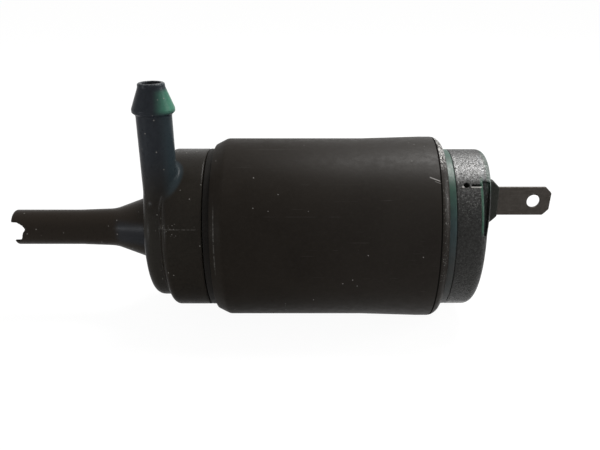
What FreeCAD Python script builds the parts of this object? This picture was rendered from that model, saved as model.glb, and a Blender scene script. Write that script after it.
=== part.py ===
# Windshield washer pump: a motor in a painted steel can drives an impeller in a moulded head.
# X runs along the shaft from the inlet to the terminal, and Z runs up the outlet nozzle.
# The origin lies on the shaft's axis, where the inlet spigot's straight tube meets its cone.
import FreeCAD, Part
import math
import os
import re

import Sketcher

# Driving sizes in millimetres, degrees and counts
SIZES = {
    # Inlet spigot and cone
    "spigot_length": 22.7,
    "spigot_radius": 3.85,
    "spigot_tip_round": 0.8,
    "flare_length": 8.0,
    "flare_rise": 0.3,
    "inlet_bore_radius": 2.3,
    "eye_radius": 4.2,
    "eye_length": 5.0,
    "notch_tilt": 19.5,
    "notch_depth": 3.3,
    "notch_top": 0.95,
    "notch_shoulder": 1.9,
    "notch_shoulder_round": 1.2,
    "notch_bend": 0.5,
    "notch_bend_height": 0.1,
    "notch_bend_round": 1.5,
    "notch_cusp_drop": 0.7,
    "notch_ledge": 0.6,
    "notch_ledge_drop": 1.3,
    "notch_foot": 1.2,
    "notch_foot_round": 0.6,
    "notch_bottom": 2.8,
    "lower_lobe_setback": 0.5,
    "cone_length": 8.9,
    "cone_radius": 7.4,
    "cone_blend": 8.0,
    # Round head
    "head_length": 12.55,
    "shoulder_drop": 2.2,
    "nose_length": 3.7,
    "step_drop": 2.2,
    "nose_round": 2.0,
    "step_length": 1.05,
    "step_round": 1.5,
    "seam_chamfer": 0.35,
    "head_front_wall": 2.35,
    "nose_wall": 2.4,
    "chamber_offset": 1.5,
    "socket_depth": 3.7,
    "head_wall": 1.8,
    # Outlet nozzle
    "nozzle_station": 12.42,
    "nozzle_inset": 3.62,
    "nozzle_radius": 3.58,
    "nozzle_foot": 2.0,
    "nozzle_foot_round": 2.8,
    "nozzle_height": 32.8,
    "nozzle_bore_radius": 1.9,
    "barb_height": 26.66,
    "barb_rise": 0.6,
    "barb_land": 0.65,
    "barb_length": 5.35,
    "barb_radius": 4.28,
    "nozzle_tip_radius": 2.7,
    "nozzle_tip_chamfer": 0.35,
    # Seal carrier between the head and the can
    "seam_gap": 0.15,
    "ring_width": 1.4,
    "carrier_plate": 4.2,
    "carrier_length": 9.8,
    "carrier_wall": 2.6,
    "hub_radius": 6.0,
    "groove_start": 1.4,
    "groove_width": 1.4,
    "groove_depth": 1.25,
    "oring_radius": 0.6,
    "fit_gap": 0.05,
    # Shaft seal
    "seal_radius": 5.0,
    "seal_length": 3.0,
    "seal_rim": 1.1,
    "seal_plate": 1.2,
    "lip_length": 2.3,
    "lip_thickness": 0.9,
    "garter_wire": 0.5,
    # Motor can
    "can_length": 48.5,
    "can_radius": 19.42,
    "can_swell": 0.37,
    "can_wall": 1.2,
    "swell_length": 12.5,
    "rear_band_length": 4.6,
    "shoulder_length": 2.5,
    "shoulder_round": 2.0,
    "lip_wall": 1.3,
    "shoulder_edge": 0.9,
    "shoulder_slope": 1.2,
    "crimp_slope": 0.6,
    "lip_radius": 2.4,
    # Magnets and their clips
    "magnet_length": 28.0,
    "magnet_thickness": 4.3,
    "magnet_angle": 130.0,
    "magnet_lead": 3.4,
    "clip_thickness": 0.5,
    "clip_length": 20.0,
    "clip_height": 3.0,
    "clip_leg_angle": 2.0,
    # Rotor
    "shaft_radius": 1.6,
    "shaft_tip": 3.0,
    "shaft_chamfer": 0.3,
    "running_gap": 0.03,
    "end_gap": 0.1,
    "core_length": 22.0,
    "core_lead": 6.0,
    "air_gap": 0.4,
    "pole_count": 5,
    "slot_mouth": 2.2,
    "tooth_tip": 1.3,
    "tooth_root": 1.56,
    "slot_round": 0.8,
    "tooth_share": 0.48,
    "coil_bottom_share": 0.5,
    "coil_top_share": 0.784,
    "coil_side_gap": 0.17,
    "coil_overhang": 2.0,
    "coil_gap": 0.15,
    "coil_round": 2.2,
    # Impeller
    "impeller_gap": 0.6,
    "impeller_hub_radius": 3.0,
    "hub_setback": 1.0,
    "impeller_plate": 1.2,
    "impeller_back_gap": 0.8,
    "vane_count": 6,
    "vane_height": 3.6,
    "vane_thickness": 1.0,
    "vane_bend_share": 0.38,
    "vane_reach_share": 0.67,
    "vane_sweep": 45.0,
    "vane_curve_share": 0.69,
    # Commutator and brushes
    "bar_count": 5,
    "bar_gap_angle": 8.0,
    "bar_length": 6.4,
    "commutator_radius": 4.6,
    "bar_thickness": 1.3,
    "riser_height": 1.1,
    "riser_length": 1.0,
    "commutator_lead": 3.2,
    "card_plate": 1.5,
    "card_gap": 0.5,
    "card_hole_radius": 6.4,
    "brush_width": 4.0,
    "brush_length": 4.4,
    "brush_gap": 0.1,
    "box_wall": 0.7,
    "box_margin": 3.5,
    "box_lift": 6.9,
    "leaf_thickness": 0.3,
    "leaf_room": 1.2,
    "leaf_width": 3.0,
    "leaf_bend": 2.0,
    "strip_thickness": 0.4,
    "strip_width": 3.0,
    "strip_fold": 3.6,
    # Bearings, felts and washers
    "bearing_radius": 3.5,
    "bearing_length": 3.8,
    "felt_length": 0.8,
    "retainer_hole_radius": 3.2,
    "retainer_thickness": 0.4,
    "retainer_rim": 0.2,
    "washer_radius": 2.9,
    "washer_thickness": 0.5,
    "spacer_radius": 2.6,
    "hole_clearance": 0.3,
    # Cap and its seal ring
    "seal_width": 1.5,
    "seal_depth": 1.1,
    "cap_drop": 2.32,
    "cap_length": 6.4,
    "cap_slant": 1.4,
    "cap_round": 2.0,
    "crown_height": 3.6,
    "crown_slant": 7.1,
    "crown_round": 20.0,
    "cap_wall": 2.0,
    "cap_flange_length": 2.2,
    "cap_depth": 3.2,
    "boss_radius": 5.1,
    "boss_length": 5.8,
    "latch_station": 5.45,
    "latch_angle": 33.0,
    "latch_half_height": 5.6,
    "latch_rim": 0.5,
    "latch_depth": 2.2,
    "pin_hole_radius": 0.55,
    "pin_hole_depth": 1.5,
    "pin_hole_station": 2.15,
    "pin_hole_angle": 49.0,
    "slit_length": 2.0,
    "slit_width": 0.45,
    "slit_depth": 0.7,
    # Collar round the terminal's root
    "collar_length": 5.2,
    "collar_flare": 1.5,
    "collar_taper": 1.4,
    "collar_lip": 0.1,
    "collar_round": 0.8,
    "collar_wall": 0.8,
    # Spade terminal
    "blade_width": 6.3,
    "blade_thickness": 0.8,
    "blade_reach": 16.9,
    "blade_height": 6.07,
    "blade_corner": 1.3,
    "blade_tip_slant": 0.2,
    "blade_hole_radius": 1.45,
    "blade_hole_setback": 3.8,
    "blade_seat": 1.0,
    "tail_width": 3.0,
    "tail_height": 7.2,
}

# How far a cut runs past the solid that it cuts
PAST = 1.0
# The brushes stand opposite each other
BRUSH_PAIR = "2"

doc = FreeCAD.newDocument("WasherPump")
sheet = doc.addObject("Spreadsheet::Sheet", "Size")
for row, (alias, size) in enumerate(SIZES.items(), start=1):
    sheet.set(f"A{row}", alias)
    sheet.set(f"B{row}", str(size))
    sheet.setAlias(f"B{row}", alias)
doc.recompute()

# Stations along the shaft and radii that follow the can, each a sum of driving sizes
NOSE_STEP = "cone_length + nose_length"
SEAM = "cone_length + head_length"
SOCKET = f"{SEAM} - socket_depth"
CHAMBER = "cone_length + head_front_wall"
CARRIER_RING = f"{SEAM} + seam_gap"
CAN_FRONT = f"{CARRIER_RING} + ring_width"
CAN_REAR = f"{CAN_FRONT} + can_length"
CAN_BORE = "(can_radius - can_wall)"
HEAD_RADIUS = "(can_radius - shoulder_drop)"
CAP_RADIUS = "(can_radius - cap_drop)"
NOSE_RADIUS = f"({HEAD_RADIUS} - step_drop)"
SOCKET_RADIUS = f"({HEAD_RADIUS} - head_wall)"
CHAMBER_RADIUS = f"({NOSE_RADIUS} - nose_wall - chamber_offset)"
IMPELLER_RADIUS = f"({CHAMBER_RADIUS} - chamber_offset - impeller_gap)"
VANE_LENGTH = f"({IMPELLER_RADIUS} - impeller_hub_radius)"
NOZZLE_OFFSET = f"({CHAMBER_RADIUS} + chamber_offset - nozzle_inset)"
HOLLOW_RADIUS = f"({HEAD_RADIUS} - carrier_wall)"
CORE_RADIUS = f"({CAN_BORE} - magnet_thickness - air_gap)"
CARD_RADIUS = f"({CAN_BORE} - card_gap)"
COIL_BOTTOM = f"(coil_bottom_share * {CORE_RADIUS})"
COIL_HALF_WIDTH = f"({COIL_BOTTOM} * tan(180 / pole_count) - coil_side_gap)"
TOOTH_HALF_WIDTH = f"(tooth_share * {COIL_HALF_WIDTH})"
BOX_TOP = f"({CARD_RADIUS} - box_margin)"
BRUSH_TOP = f"({BOX_TOP} - box_wall - leaf_room)"
CARRIER_BACK = f"{SOCKET} + carrier_length"
FRONT_BUSH = f"{CARRIER_BACK} - bearing_length"
MAGNET = f"{CARRIER_BACK} + magnet_lead"
CORE = f"{CARRIER_BACK} + core_lead"
CORE_BACK = f"{CORE} + core_length"
BARS = f"{CORE_BACK} + coil_overhang + commutator_lead"
BARS_BACK = f"{BARS} + bar_length"
CAP_FACE = f"{CAN_REAR} + seal_width"
CAP_FLANGE = f"{CAN_REAR} - lip_wall - cap_flange_length"
CAP_FLOOR = f"{CAP_FACE} + cap_depth"
BOSS = f"{CAP_FLOOR} - boss_length"
CARD = f"{CAP_FLANGE} - card_plate"
CAP_END = f"{CAP_FACE} + cap_length"
BLADE_TIP = f"{CAP_END} + blade_reach"

PIECES = {}


def bound(expression):
    """The expression with the sheet's name before each size in it."""
    return re.sub(r"\b([a-z]+_\w+)", r"Size.\1", expression)


def number(expression):
    """The value of an expression in the driving sizes."""
    return float(sheet.evalExpression(bound(expression)))


def new_body(label):
    body = doc.addObject("PartDesign::Body", label)
    body.Label = label
    PIECES[label] = body
    return body


def new_sketch(body, plane, offset=None, shift=None, turn=None):
    """A sketch on one of the body's origin planes.

    offset lifts it off the plane, shift moves it along its own x and turn rotates it about its normal.
    """
    sketch = body.newObject("Sketcher::SketchObject", f"{body.Label}_sketch")
    side = next(item for item in body.Origin.OriginFeatures if item.Role == plane)
    sketch.AttachmentSupport = [(side, "")]
    sketch.MapMode = "FlatFace"
    rotation = FreeCAD.Rotation(FreeCAD.Vector(0, 0, 1), number(turn) if turn else 0)
    sketch.AttachmentOffset = FreeCAD.Placement(FreeCAD.Vector(0, 0, 0), rotation)
    if turn:
        sketch.setExpression("AttachmentOffset.Rotation.Angle", bound(turn))
    if offset:
        sketch.setExpression("AttachmentOffset.Base.z", bound(offset))
    if shift:
        sketch.setExpression("AttachmentOffset.Base.x", bound(shift))
    return sketch


def pin_point(sketch, index, end, x, y):
    """Ties a point of the sketch to its two expressions, measured from the sketch's origin."""
    for kind, expression in (("DistanceX", x), ("DistanceY", y)):
        tie = sketch.addConstraint(Sketcher.Constraint(kind, -1, 1, index, end, number(expression)))
        sketch.setExpression(f"Constraints[{tie}]", bound(expression))


def corner_arc(before, corner, after, radius):
    """Where the arc that rounds a corner begins and ends, its centre and its sense."""
    back = (before - corner).normalize()
    onward = (after - corner).normalize()
    half = back.getAngle(onward) / 2
    reach = radius / math.tan(half)
    centre = corner + (back + onward).normalize() * (radius / math.sin(half))
    left_turn = (onward.cross(back)).z > 0
    return corner + back * reach, corner + onward * reach, centre, left_turn


def draw_outline(sketch, corners):
    """A closed outline of straight sides, where a corner's third entry is the radius that rounds it."""
    points = [FreeCAD.Vector(number(corner[0]), number(corner[1]), 0) for corner in corners]
    count = len(corners)
    starts = list(points)
    ends = list(points)
    arcs = {}
    for i in range(count):
        if len(corners[i]) == 3:
            before = points[i - 1]
            after = points[(i + 1) % count]
            arcs[i] = corner_arc(before, points[i], after, number(corners[i][2]))
            ends[i] = arcs[i][0]
            starts[i] = arcs[i][1]
    for i in range(count):
        sketch.addGeometry(Part.LineSegment(starts[i], ends[(i + 1) % count]))
    for i in range(count):
        line_in = (i - 1) % count
        if i not in arcs:
            sketch.addConstraint(Sketcher.Constraint("Coincident", line_in, 2, i, 1))
            pin_point(sketch, i, 1, corners[i][0], corners[i][1])
            continue
        first, last, centre, left_turn = arcs[i]
        near, far = (first, last) if left_turn else (last, first)
        begin = math.atan2(near.y - centre.y, near.x - centre.x)
        finish = math.atan2(far.y - centre.y, far.x - centre.x)
        if finish < begin:
            finish += 2 * math.pi
        circle = Part.Circle(centre, FreeCAD.Vector(0, 0, 1), number(corners[i][2]))
        arc = sketch.addGeometry(Part.ArcOfCircle(circle, begin, finish))
        head, tail = (1, 2) if left_turn else (2, 1)
        sketch.addConstraint(Sketcher.Constraint("Tangent", line_in, 2, arc, head))
        sketch.addConstraint(Sketcher.Constraint("Tangent", arc, tail, i, 1))
        tie = sketch.addConstraint(Sketcher.Constraint("Radius", arc, number(corners[i][2])))
        sketch.setExpression(f"Constraints[{tie}]", bound(corners[i][2]))
        mark = sketch.addGeometry(Part.Point(points[i]), True)
        sketch.addConstraint(Sketcher.Constraint("PointOnObject", mark, 1, line_in))
        sketch.addConstraint(Sketcher.Constraint("PointOnObject", mark, 1, i))
        pin_point(sketch, mark, 1, corners[i][0], corners[i][1])


def draw_circle(sketch, x, y, radius):
    place = FreeCAD.Vector(number(x), number(y), 0)
    circle = sketch.addGeometry(Part.Circle(place, FreeCAD.Vector(0, 0, 1), number(radius)))
    pin_point(sketch, circle, 3, x, y)
    tie = sketch.addConstraint(Sketcher.Constraint("Radius", circle, number(radius)))
    sketch.setExpression(f"Constraints[{tie}]", bound(radius))


def turn_profile(body, corners, cut=False, angle=None, **where):
    """Revolves a profile of (station, radius) corners about the shaft, or cuts it away."""
    sketch = new_sketch(body, "XZ_Plane", **where)
    draw_outline(sketch, corners)
    kind = "PartDesign::Groove" if cut else "PartDesign::Revolution"
    feature = body.newObject(kind, f"{body.Label}_turned")
    feature.Profile = sketch
    feature.ReferenceAxis = (sketch, ["H_Axis"])
    feature.Angle = 360
    if angle:
        feature.Midplane = True
        feature.setExpression("Angle", bound(angle))
    return feature


def turn_upright(body, corners, cut=False):
    """Revolves a profile of (radius, height) corners about the nozzle's axis, or cuts it away."""
    sketch = new_sketch(body, "XZ_Plane", NOZZLE_OFFSET, "nozzle_station")
    draw_outline(sketch, corners)
    kind = "PartDesign::Groove" if cut else "PartDesign::Revolution"
    feature = body.newObject(kind, f"{body.Label}_nozzle")
    feature.Profile = sketch
    feature.ReferenceAxis = (sketch, ["V_Axis"])
    feature.Angle = 360
    return feature


def extrude(body, sketch, length, cut=False, backward=False, both=False):
    """Pads the sketch along its normal, or cuts it away; both spreads the length to the two sides."""
    kind = "PartDesign::Pocket" if cut else "PartDesign::Pad"
    feature = body.newObject(kind, f"{body.Label}_{'cut' if cut else 'pad'}")
    feature.Profile = sketch
    feature.setExpression("Length", bound(length))
    if both:
        feature.SideType = "Symmetric"
    feature.Reversed = backward != cut
    return feature


def repeat_round(body, features, count):
    """Repeats features evenly round the shaft."""
    pattern = body.newObject("PartDesign::PolarPattern", f"{body.Label}_pattern")
    pattern.Originals = features
    axis = next(item for item in body.Origin.OriginFeatures if item.Role == "X_Axis")
    pattern.Axis = (axis, [""])
    pattern.Angle = 360
    pattern.Occurrences = int(number(count))
    pattern.setExpression("Occurrences", bound(count))
    body.Tip = pattern
    return pattern


def ring(label, start, end, inner, outer):
    """A plain ring or bush about the shaft."""
    body = new_body(label)
    turn_profile(body, [(start, inner), (end, inner), (end, outer), (start, outer)])
    return body


def place_about_shaft(body, degrees):
    """Turns a whole piece about the shaft."""
    rotation = FreeCAD.Rotation(FreeCAD.Vector(1, 0, 0), degrees)
    body.Placement = FreeCAD.Placement(FreeCAD.Vector(0, 0, 0), rotation)


# Pump head: the most shaped piece, with spigot, cone, stepped nose, nozzle, chamber and passages
def make_pump_head():
    body = new_body("pump_head")
    turn_profile(body, [
        ("-spigot_length", "0"),
        ("-spigot_length", "spigot_radius", "spigot_tip_round"),
        ("-flare_length", "spigot_radius"),
        ("0", "spigot_radius + flare_rise", "cone_blend"),
        ("cone_length", "cone_radius"),
        ("cone_length", NOSE_RADIUS, "nose_round"),
        (NOSE_STEP, NOSE_RADIUS),
        (f"{NOSE_STEP} + step_length", HEAD_RADIUS, "step_round"),
        (f"{SEAM} - seam_chamfer", HEAD_RADIUS),
        (SEAM, f"{HEAD_RADIUS} - seam_chamfer"),
        (SEAM, "0"),
    ])
    turn_upright(body, [
        ("0", "-nozzle_foot"),
        ("nozzle_radius", "-nozzle_foot", "nozzle_foot_round"),
        ("nozzle_radius", "barb_height"),
        ("barb_radius", "barb_height + barb_rise"),
        ("barb_radius", "barb_height + barb_rise + barb_land"),
        ("nozzle_tip_radius", "barb_height + barb_length"),
        ("nozzle_tip_radius", "nozzle_height - nozzle_tip_chamfer"),
        ("nozzle_tip_radius - nozzle_tip_chamfer", "nozzle_height"),
        ("0", "nozzle_height"),
    ])
    turn_profile(body, [
        (f"-spigot_length - {PAST}", "0"),
        (f"-spigot_length - {PAST}", "inlet_bore_radius"),
        (f"{CHAMBER} - eye_length", "inlet_bore_radius"),
        (CHAMBER, "eye_radius"),
        (CHAMBER, "0"),
    ], cut=True)
    chamber = new_sketch(body, "YZ_Plane", CHAMBER)
    draw_circle(chamber, "-chamber_offset", "0", CHAMBER_RADIUS)
    extrude(body, chamber, f"{SOCKET} - ({CHAMBER})", cut=True)
    turn_profile(body, [
        (SOCKET, "0"),
        (SOCKET, SOCKET_RADIUS),
        (f"{SEAM} + {PAST}", SOCKET_RADIUS),
        (f"{SEAM} + {PAST}", "0"),
    ], cut=True)
    turn_upright(body, [
        ("0", "0"),
        ("nozzle_bore_radius", "0"),
        ("nozzle_bore_radius", f"nozzle_height + {PAST}"),
        ("0", f"nozzle_height + {PAST}"),
    ], cut=True)
    cut_notch(body)


def cut_notch(body):
    """The uneven notch in the spigot's end, cut straight through, and the shortened lower lobe beside it."""
    notch = tilted_sketch(body, "notch_tilt", "0")
    deepest = "-spigot_length + notch_depth"
    draw_outline(notch, [
        (f"-spigot_length - {PAST}", "notch_top"),
        (f"{deepest} - notch_shoulder", "notch_top", "notch_shoulder_round"),
        (f"{deepest} - notch_bend", "notch_bend_height", "notch_bend_round"),
        (deepest, "-notch_cusp_drop"),
        (f"{deepest} - notch_ledge", "-notch_ledge_drop"),
        (f"{deepest} - notch_foot", "-notch_bottom", "notch_foot_round"),
        ("-spigot_length + lower_lobe_setback", "-notch_bottom"),
        ("-spigot_length + lower_lobe_setback", f"-spigot_radius - {PAST}"),
        (f"-spigot_length - {PAST}", f"-spigot_radius - {PAST}"),
    ])
    extrude(body, notch, f"(spigot_radius + {PAST}) * 2", cut=True, both=True)


def make_head_oring():
    """The O-ring lies pressed between its groove and the head's socket, so its section is a blunt hexagon."""
    body = new_body("head_oring")
    middle = f"{SOCKET} + groove_start + groove_width / 2"
    floor = f"{SOCKET_RADIUS} - fit_gap - groove_depth"
    turn_profile(body, [
        (f"{middle} - oring_radius", f"{floor} + groove_depth / 2"),
        (f"{middle} - oring_radius / 2", floor),
        (f"{middle} + oring_radius / 2", floor),
        (f"{middle} + oring_radius", f"{floor} + groove_depth / 2"),
        (f"{middle} + oring_radius / 2", SOCKET_RADIUS),
        (f"{middle} - oring_radius / 2", SOCKET_RADIUS),
    ])


def make_seal_carrier():
    """The motor's front end shield: a socket plug, a ring that shows, and a flange inside the can."""
    body = new_body("seal_carrier")
    plug = f"{SOCKET_RADIUS} - fit_gap"
    turn_profile(body, [
        (SOCKET, "seal_radius"),
        (SOCKET, plug),
        (f"{SOCKET} + groove_start", plug),
        (f"{SOCKET} + groove_start", f"{plug} - groove_depth"),
        (f"{SOCKET} + groove_start + groove_width", f"{plug} - groove_depth"),
        (f"{SOCKET} + groove_start + groove_width", plug),
        (CARRIER_RING, plug),
        (CARRIER_RING, HEAD_RADIUS),
        (f"{CAN_FRONT} + lip_wall", HEAD_RADIUS),
        (f"{CAN_FRONT} + lip_wall + shoulder_slope", f"{CAN_BORE} - fit_gap"),
        (CARRIER_BACK, f"{CAN_BORE} - fit_gap"),
        (CARRIER_BACK, HOLLOW_RADIUS),
        (f"{SOCKET} + carrier_plate", HOLLOW_RADIUS),
        (f"{SOCKET} + carrier_plate", "hub_radius"),
        (CARRIER_BACK, "hub_radius"),
        (CARRIER_BACK, "bearing_radius"),
        (f"{FRONT_BUSH} - felt_length", "bearing_radius"),
        (f"{FRONT_BUSH} - felt_length", "shaft_radius + hole_clearance"),
        (f"{SOCKET} + seal_length", "shaft_radius + hole_clearance"),
        (f"{SOCKET} + seal_length", "seal_radius"),
    ])


def make_shaft_seal():
    body = new_body("shaft_seal")
    lip = "shaft_radius + running_gap"
    turn_profile(body, [
        (SOCKET, "seal_radius"),
        (f"{SOCKET} + seal_length", "seal_radius"),
        (f"{SOCKET} + seal_length", "seal_radius - seal_rim"),
        (f"{SOCKET} + seal_plate", "seal_radius - seal_rim"),
        (f"{SOCKET} + seal_plate", f"{lip} + lip_thickness"),
        (f"{SOCKET} + lip_length", f"{lip} + lip_thickness"),
        (f"{SOCKET} + lip_length", lip),
        (SOCKET, f"{lip} + lip_thickness"),
    ])
    spring = new_body("seal_spring")
    middle = f"{SOCKET} + (seal_plate + lip_length) / 2"
    turn_profile(spring, [
        (f"{middle} - garter_wire / 2", f"{lip} + lip_thickness"),
        (f"{middle} + garter_wire / 2", f"{lip} + lip_thickness"),
        (f"{middle} + garter_wire / 2", f"{lip} + lip_thickness + garter_wire"),
        (f"{middle} - garter_wire / 2", f"{lip} + lip_thickness + garter_wire"),
    ])


# Motor can: turned-in shoulder in front, a swelling rear band and a lip rolled over the cap's flange
def make_motor_can():
    body = new_body("motor_can")
    hole = f"{HEAD_RADIUS} + fit_gap"
    band = "can_radius + can_swell"
    turn_profile(body, [
        (CAN_FRONT, hole),
        (CAN_FRONT, f"{hole} + shoulder_edge"),
        (f"{CAN_FRONT} + shoulder_length", "can_radius", "shoulder_round"),
        (f"{CAN_REAR} - rear_band_length - swell_length", "can_radius"),
        (f"{CAN_REAR} - rear_band_length", band),
        (CAN_REAR, band, "lip_radius"),
        (CAN_REAR, hole),
        (f"{CAN_REAR} - lip_wall", hole),
        (f"{CAN_REAR} - lip_wall", f"{hole} + fit_gap"),
        (f"{CAN_REAR} - lip_wall - crimp_slope", CAN_BORE),
        (f"{CAN_FRONT} + lip_wall + shoulder_slope", CAN_BORE),
        (f"{CAN_FRONT} + lip_wall", f"{hole} + fit_gap"),
        (f"{CAN_FRONT} + lip_wall", hole),
    ])


def make_magnets():
    """Two arc magnets held apart by two bent clips against the can's wall."""
    face = f"{CAN_BORE} - magnet_thickness"
    for label, degrees in (("magnet_upper", 90), ("magnet_lower", 270)):
        body = new_body(label)
        turn_profile(body, [
            (MAGNET, face),
            (f"{MAGNET} + magnet_length", face),
            (f"{MAGNET} + magnet_length", CAN_BORE),
            (MAGNET, CAN_BORE),
        ], angle="magnet_angle")
        place_about_shaft(body, degrees - 90)
    start = f"{MAGNET} + (magnet_length - clip_length) / 2"
    for label, degrees in (("magnet_clip_near", 90), ("magnet_clip_far", 270)):
        body = new_body(label)
        turn_profile(body, [
            (start, f"{CAN_BORE} - clip_height"),
            (f"{start} + clip_length", f"{CAN_BORE} - clip_height"),
            (f"{start} + clip_length", CAN_BORE),
            (start, CAN_BORE),
        ], angle="180 - magnet_angle")
        turn_profile(body, [
            (f"{start} - {PAST}", f"{CAN_BORE} - clip_height - {PAST}"),
            (f"{start} + clip_length + {PAST}", f"{CAN_BORE} - clip_height - {PAST}"),
            (f"{start} + clip_length + {PAST}", f"{CAN_BORE} - clip_thickness"),
            (f"{start} - {PAST}", f"{CAN_BORE} - clip_thickness"),
        ], cut=True, angle="180 - magnet_angle - clip_leg_angle * 2")
        place_about_shaft(body, degrees)


def make_impeller():
    """A plate with curved vanes that face the inlet, on a hub with a rounded nose."""
    body = new_body("impeller")
    back = f"{SOCKET} - impeller_back_gap"
    front = f"{back} - impeller_plate - vane_height"
    turn_profile(body, [
        (f"{front} + hub_setback", "0"),
        (f"{front} + hub_setback", "impeller_hub_radius / 2"),
        (f"{back} - impeller_plate", "impeller_hub_radius"),
        (f"{back} - impeller_plate", IMPELLER_RADIUS),
        (back, IMPELLER_RADIUS),
        (back, "shaft_radius"),
        (f"{back} - shaft_tip", "shaft_radius"),
        (f"{back} - shaft_tip", "0"),
    ])
    vane = new_sketch(body, "YZ_Plane", front)
    draw_vane(vane)
    pad = extrude(body, vane, "vane_height + impeller_plate / 2")
    repeat_round(body, [pad], "vane_count")


def draw_vane(sketch):
    """One vane that leaves the hub straight out and then sweeps back against the rotor's turn."""
    half = "vane_thickness / 2"
    root = "impeller_hub_radius - vane_thickness / 2"
    bend = f"(impeller_hub_radius + vane_bend_share * {VANE_LENGTH})"
    reach = f"vane_reach_share * {VANE_LENGTH}"
    curve = f"vane_curve_share * {VANE_LENGTH}"
    tip_x = f"{reach} * sin(vane_sweep)"
    tip_y = f"{bend} + {reach} * cos(vane_sweep)"
    draw_outline(sketch, [
        (half, root),
        (half, f"{bend} + {half} * tan(vane_sweep / 2)", f"{curve} + vane_thickness"),
        (f"{half} * cos(vane_sweep) - {tip_x}", f"{tip_y} + {half} * sin(vane_sweep)"),
        (f"-{half} * cos(vane_sweep) - {tip_x}", f"{tip_y} - {half} * sin(vane_sweep)"),
        (f"-{half}", f"{bend} - {half} * tan(vane_sweep / 2)", curve),
        (f"-{half}", root),
    ])


def make_shaft():
    body = new_body("shaft")
    start = f"{SOCKET} - impeller_back_gap - shaft_tip"
    end = f"{BOSS} + bearing_length + felt_length - end_gap"
    turn_profile(body, [
        (start, "0"),
        (start, "shaft_radius - shaft_chamfer"),
        (f"{start} + shaft_chamfer", "shaft_radius"),
        (f"{end} - shaft_chamfer", "shaft_radius"),
        (end, "shaft_radius - shaft_chamfer"),
        (end, "0"),
    ])


def make_armature():
    """A slotted core with one coil round each tooth."""
    body = new_body("armature_core")
    disc = new_sketch(body, "YZ_Plane", CORE)
    draw_circle(disc, "0", "0", CORE_RADIUS)
    draw_circle(disc, "0", "0", "shaft_radius")
    extrude(body, disc, "core_length")
    slot = new_sketch(body, "YZ_Plane", CORE, turn="180 / pole_count")
    turn = "180 / pole_count"
    yoke = f"({CORE_RADIUS} - tooth_root)"
    shoulder = f"sqrt({yoke} ^ 2 - {TOOTH_HALF_WIDTH} ^ 2)"
    shoulder_x = f"{shoulder} * cos({turn}) + {TOOTH_HALF_WIDTH} * sin({turn})"
    shoulder_y = f"({shoulder} * sin({turn}) - {TOOTH_HALF_WIDTH} * cos({turn}))"
    draw_outline(slot, [
        (f"{TOOTH_HALF_WIDTH} / sin({turn})", "0", "slot_round"),
        (shoulder_x, f"-{shoulder_y}"),
        (f"{CORE_RADIUS} - tooth_tip", "-slot_mouth / 2"),
        (f"{CORE_RADIUS} + {PAST}", "-slot_mouth / 2"),
        (f"{CORE_RADIUS} + {PAST}", "slot_mouth / 2"),
        (f"{CORE_RADIUS} - tooth_tip", "slot_mouth / 2"),
        (shoulder_x, shoulder_y),
    ])
    repeat_round(body, [extrude(body, slot, "core_length", cut=True)], "pole_count")

    coils = new_body("windings")
    loop = new_sketch(coils, "XZ_Plane", f"-{COIL_BOTTOM}")
    draw_outline(loop, [
        (f"{CORE} - coil_overhang", f"-{COIL_HALF_WIDTH}", "coil_round"),
        (f"{CORE_BACK} + coil_overhang", f"-{COIL_HALF_WIDTH}", "coil_round"),
        (f"{CORE_BACK} + coil_overhang", COIL_HALF_WIDTH, "coil_round"),
        (f"{CORE} - coil_overhang", COIL_HALF_WIDTH, "coil_round"),
    ])
    height = f"(coil_top_share - coil_bottom_share) * {CORE_RADIUS}"
    wound = extrude(coils, loop, height, backward=True)
    tooth = new_sketch(coils, "XZ_Plane", f"-{COIL_BOTTOM}")
    half = f"({TOOTH_HALF_WIDTH} + coil_gap)"
    draw_outline(tooth, [
        (f"{CORE} - coil_gap", f"-{half}"),
        (f"{CORE_BACK} + coil_gap", f"-{half}"),
        (f"{CORE_BACK} + coil_gap", half),
        (f"{CORE} - coil_gap", half),
    ])
    opening = extrude(coils, tooth, height, cut=True, backward=True)
    repeat_round(coils, [wound, opening], "pole_count")


def make_commutator():
    """Copper bars with risers on an insulating hub."""
    inside = "commutator_radius - bar_thickness"
    end = f"{BOSS} - retainer_thickness - washer_thickness"
    ring("commutator_hub", f"{CORE_BACK} + coil_gap", end, "shaft_radius", inside)
    body = new_body("commutator_bars")
    bar = turn_profile(body, [
        (BARS, inside),
        (BARS_BACK, inside),
        (BARS_BACK, "commutator_radius"),
        (f"{BARS} + riser_length", "commutator_radius"),
        (f"{BARS} + riser_length", "commutator_radius + riser_height"),
        (BARS, "commutator_radius + riser_height"),
    ], angle="360 / bar_count - bar_gap_angle")
    repeat_round(body, [bar], "bar_count")


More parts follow.
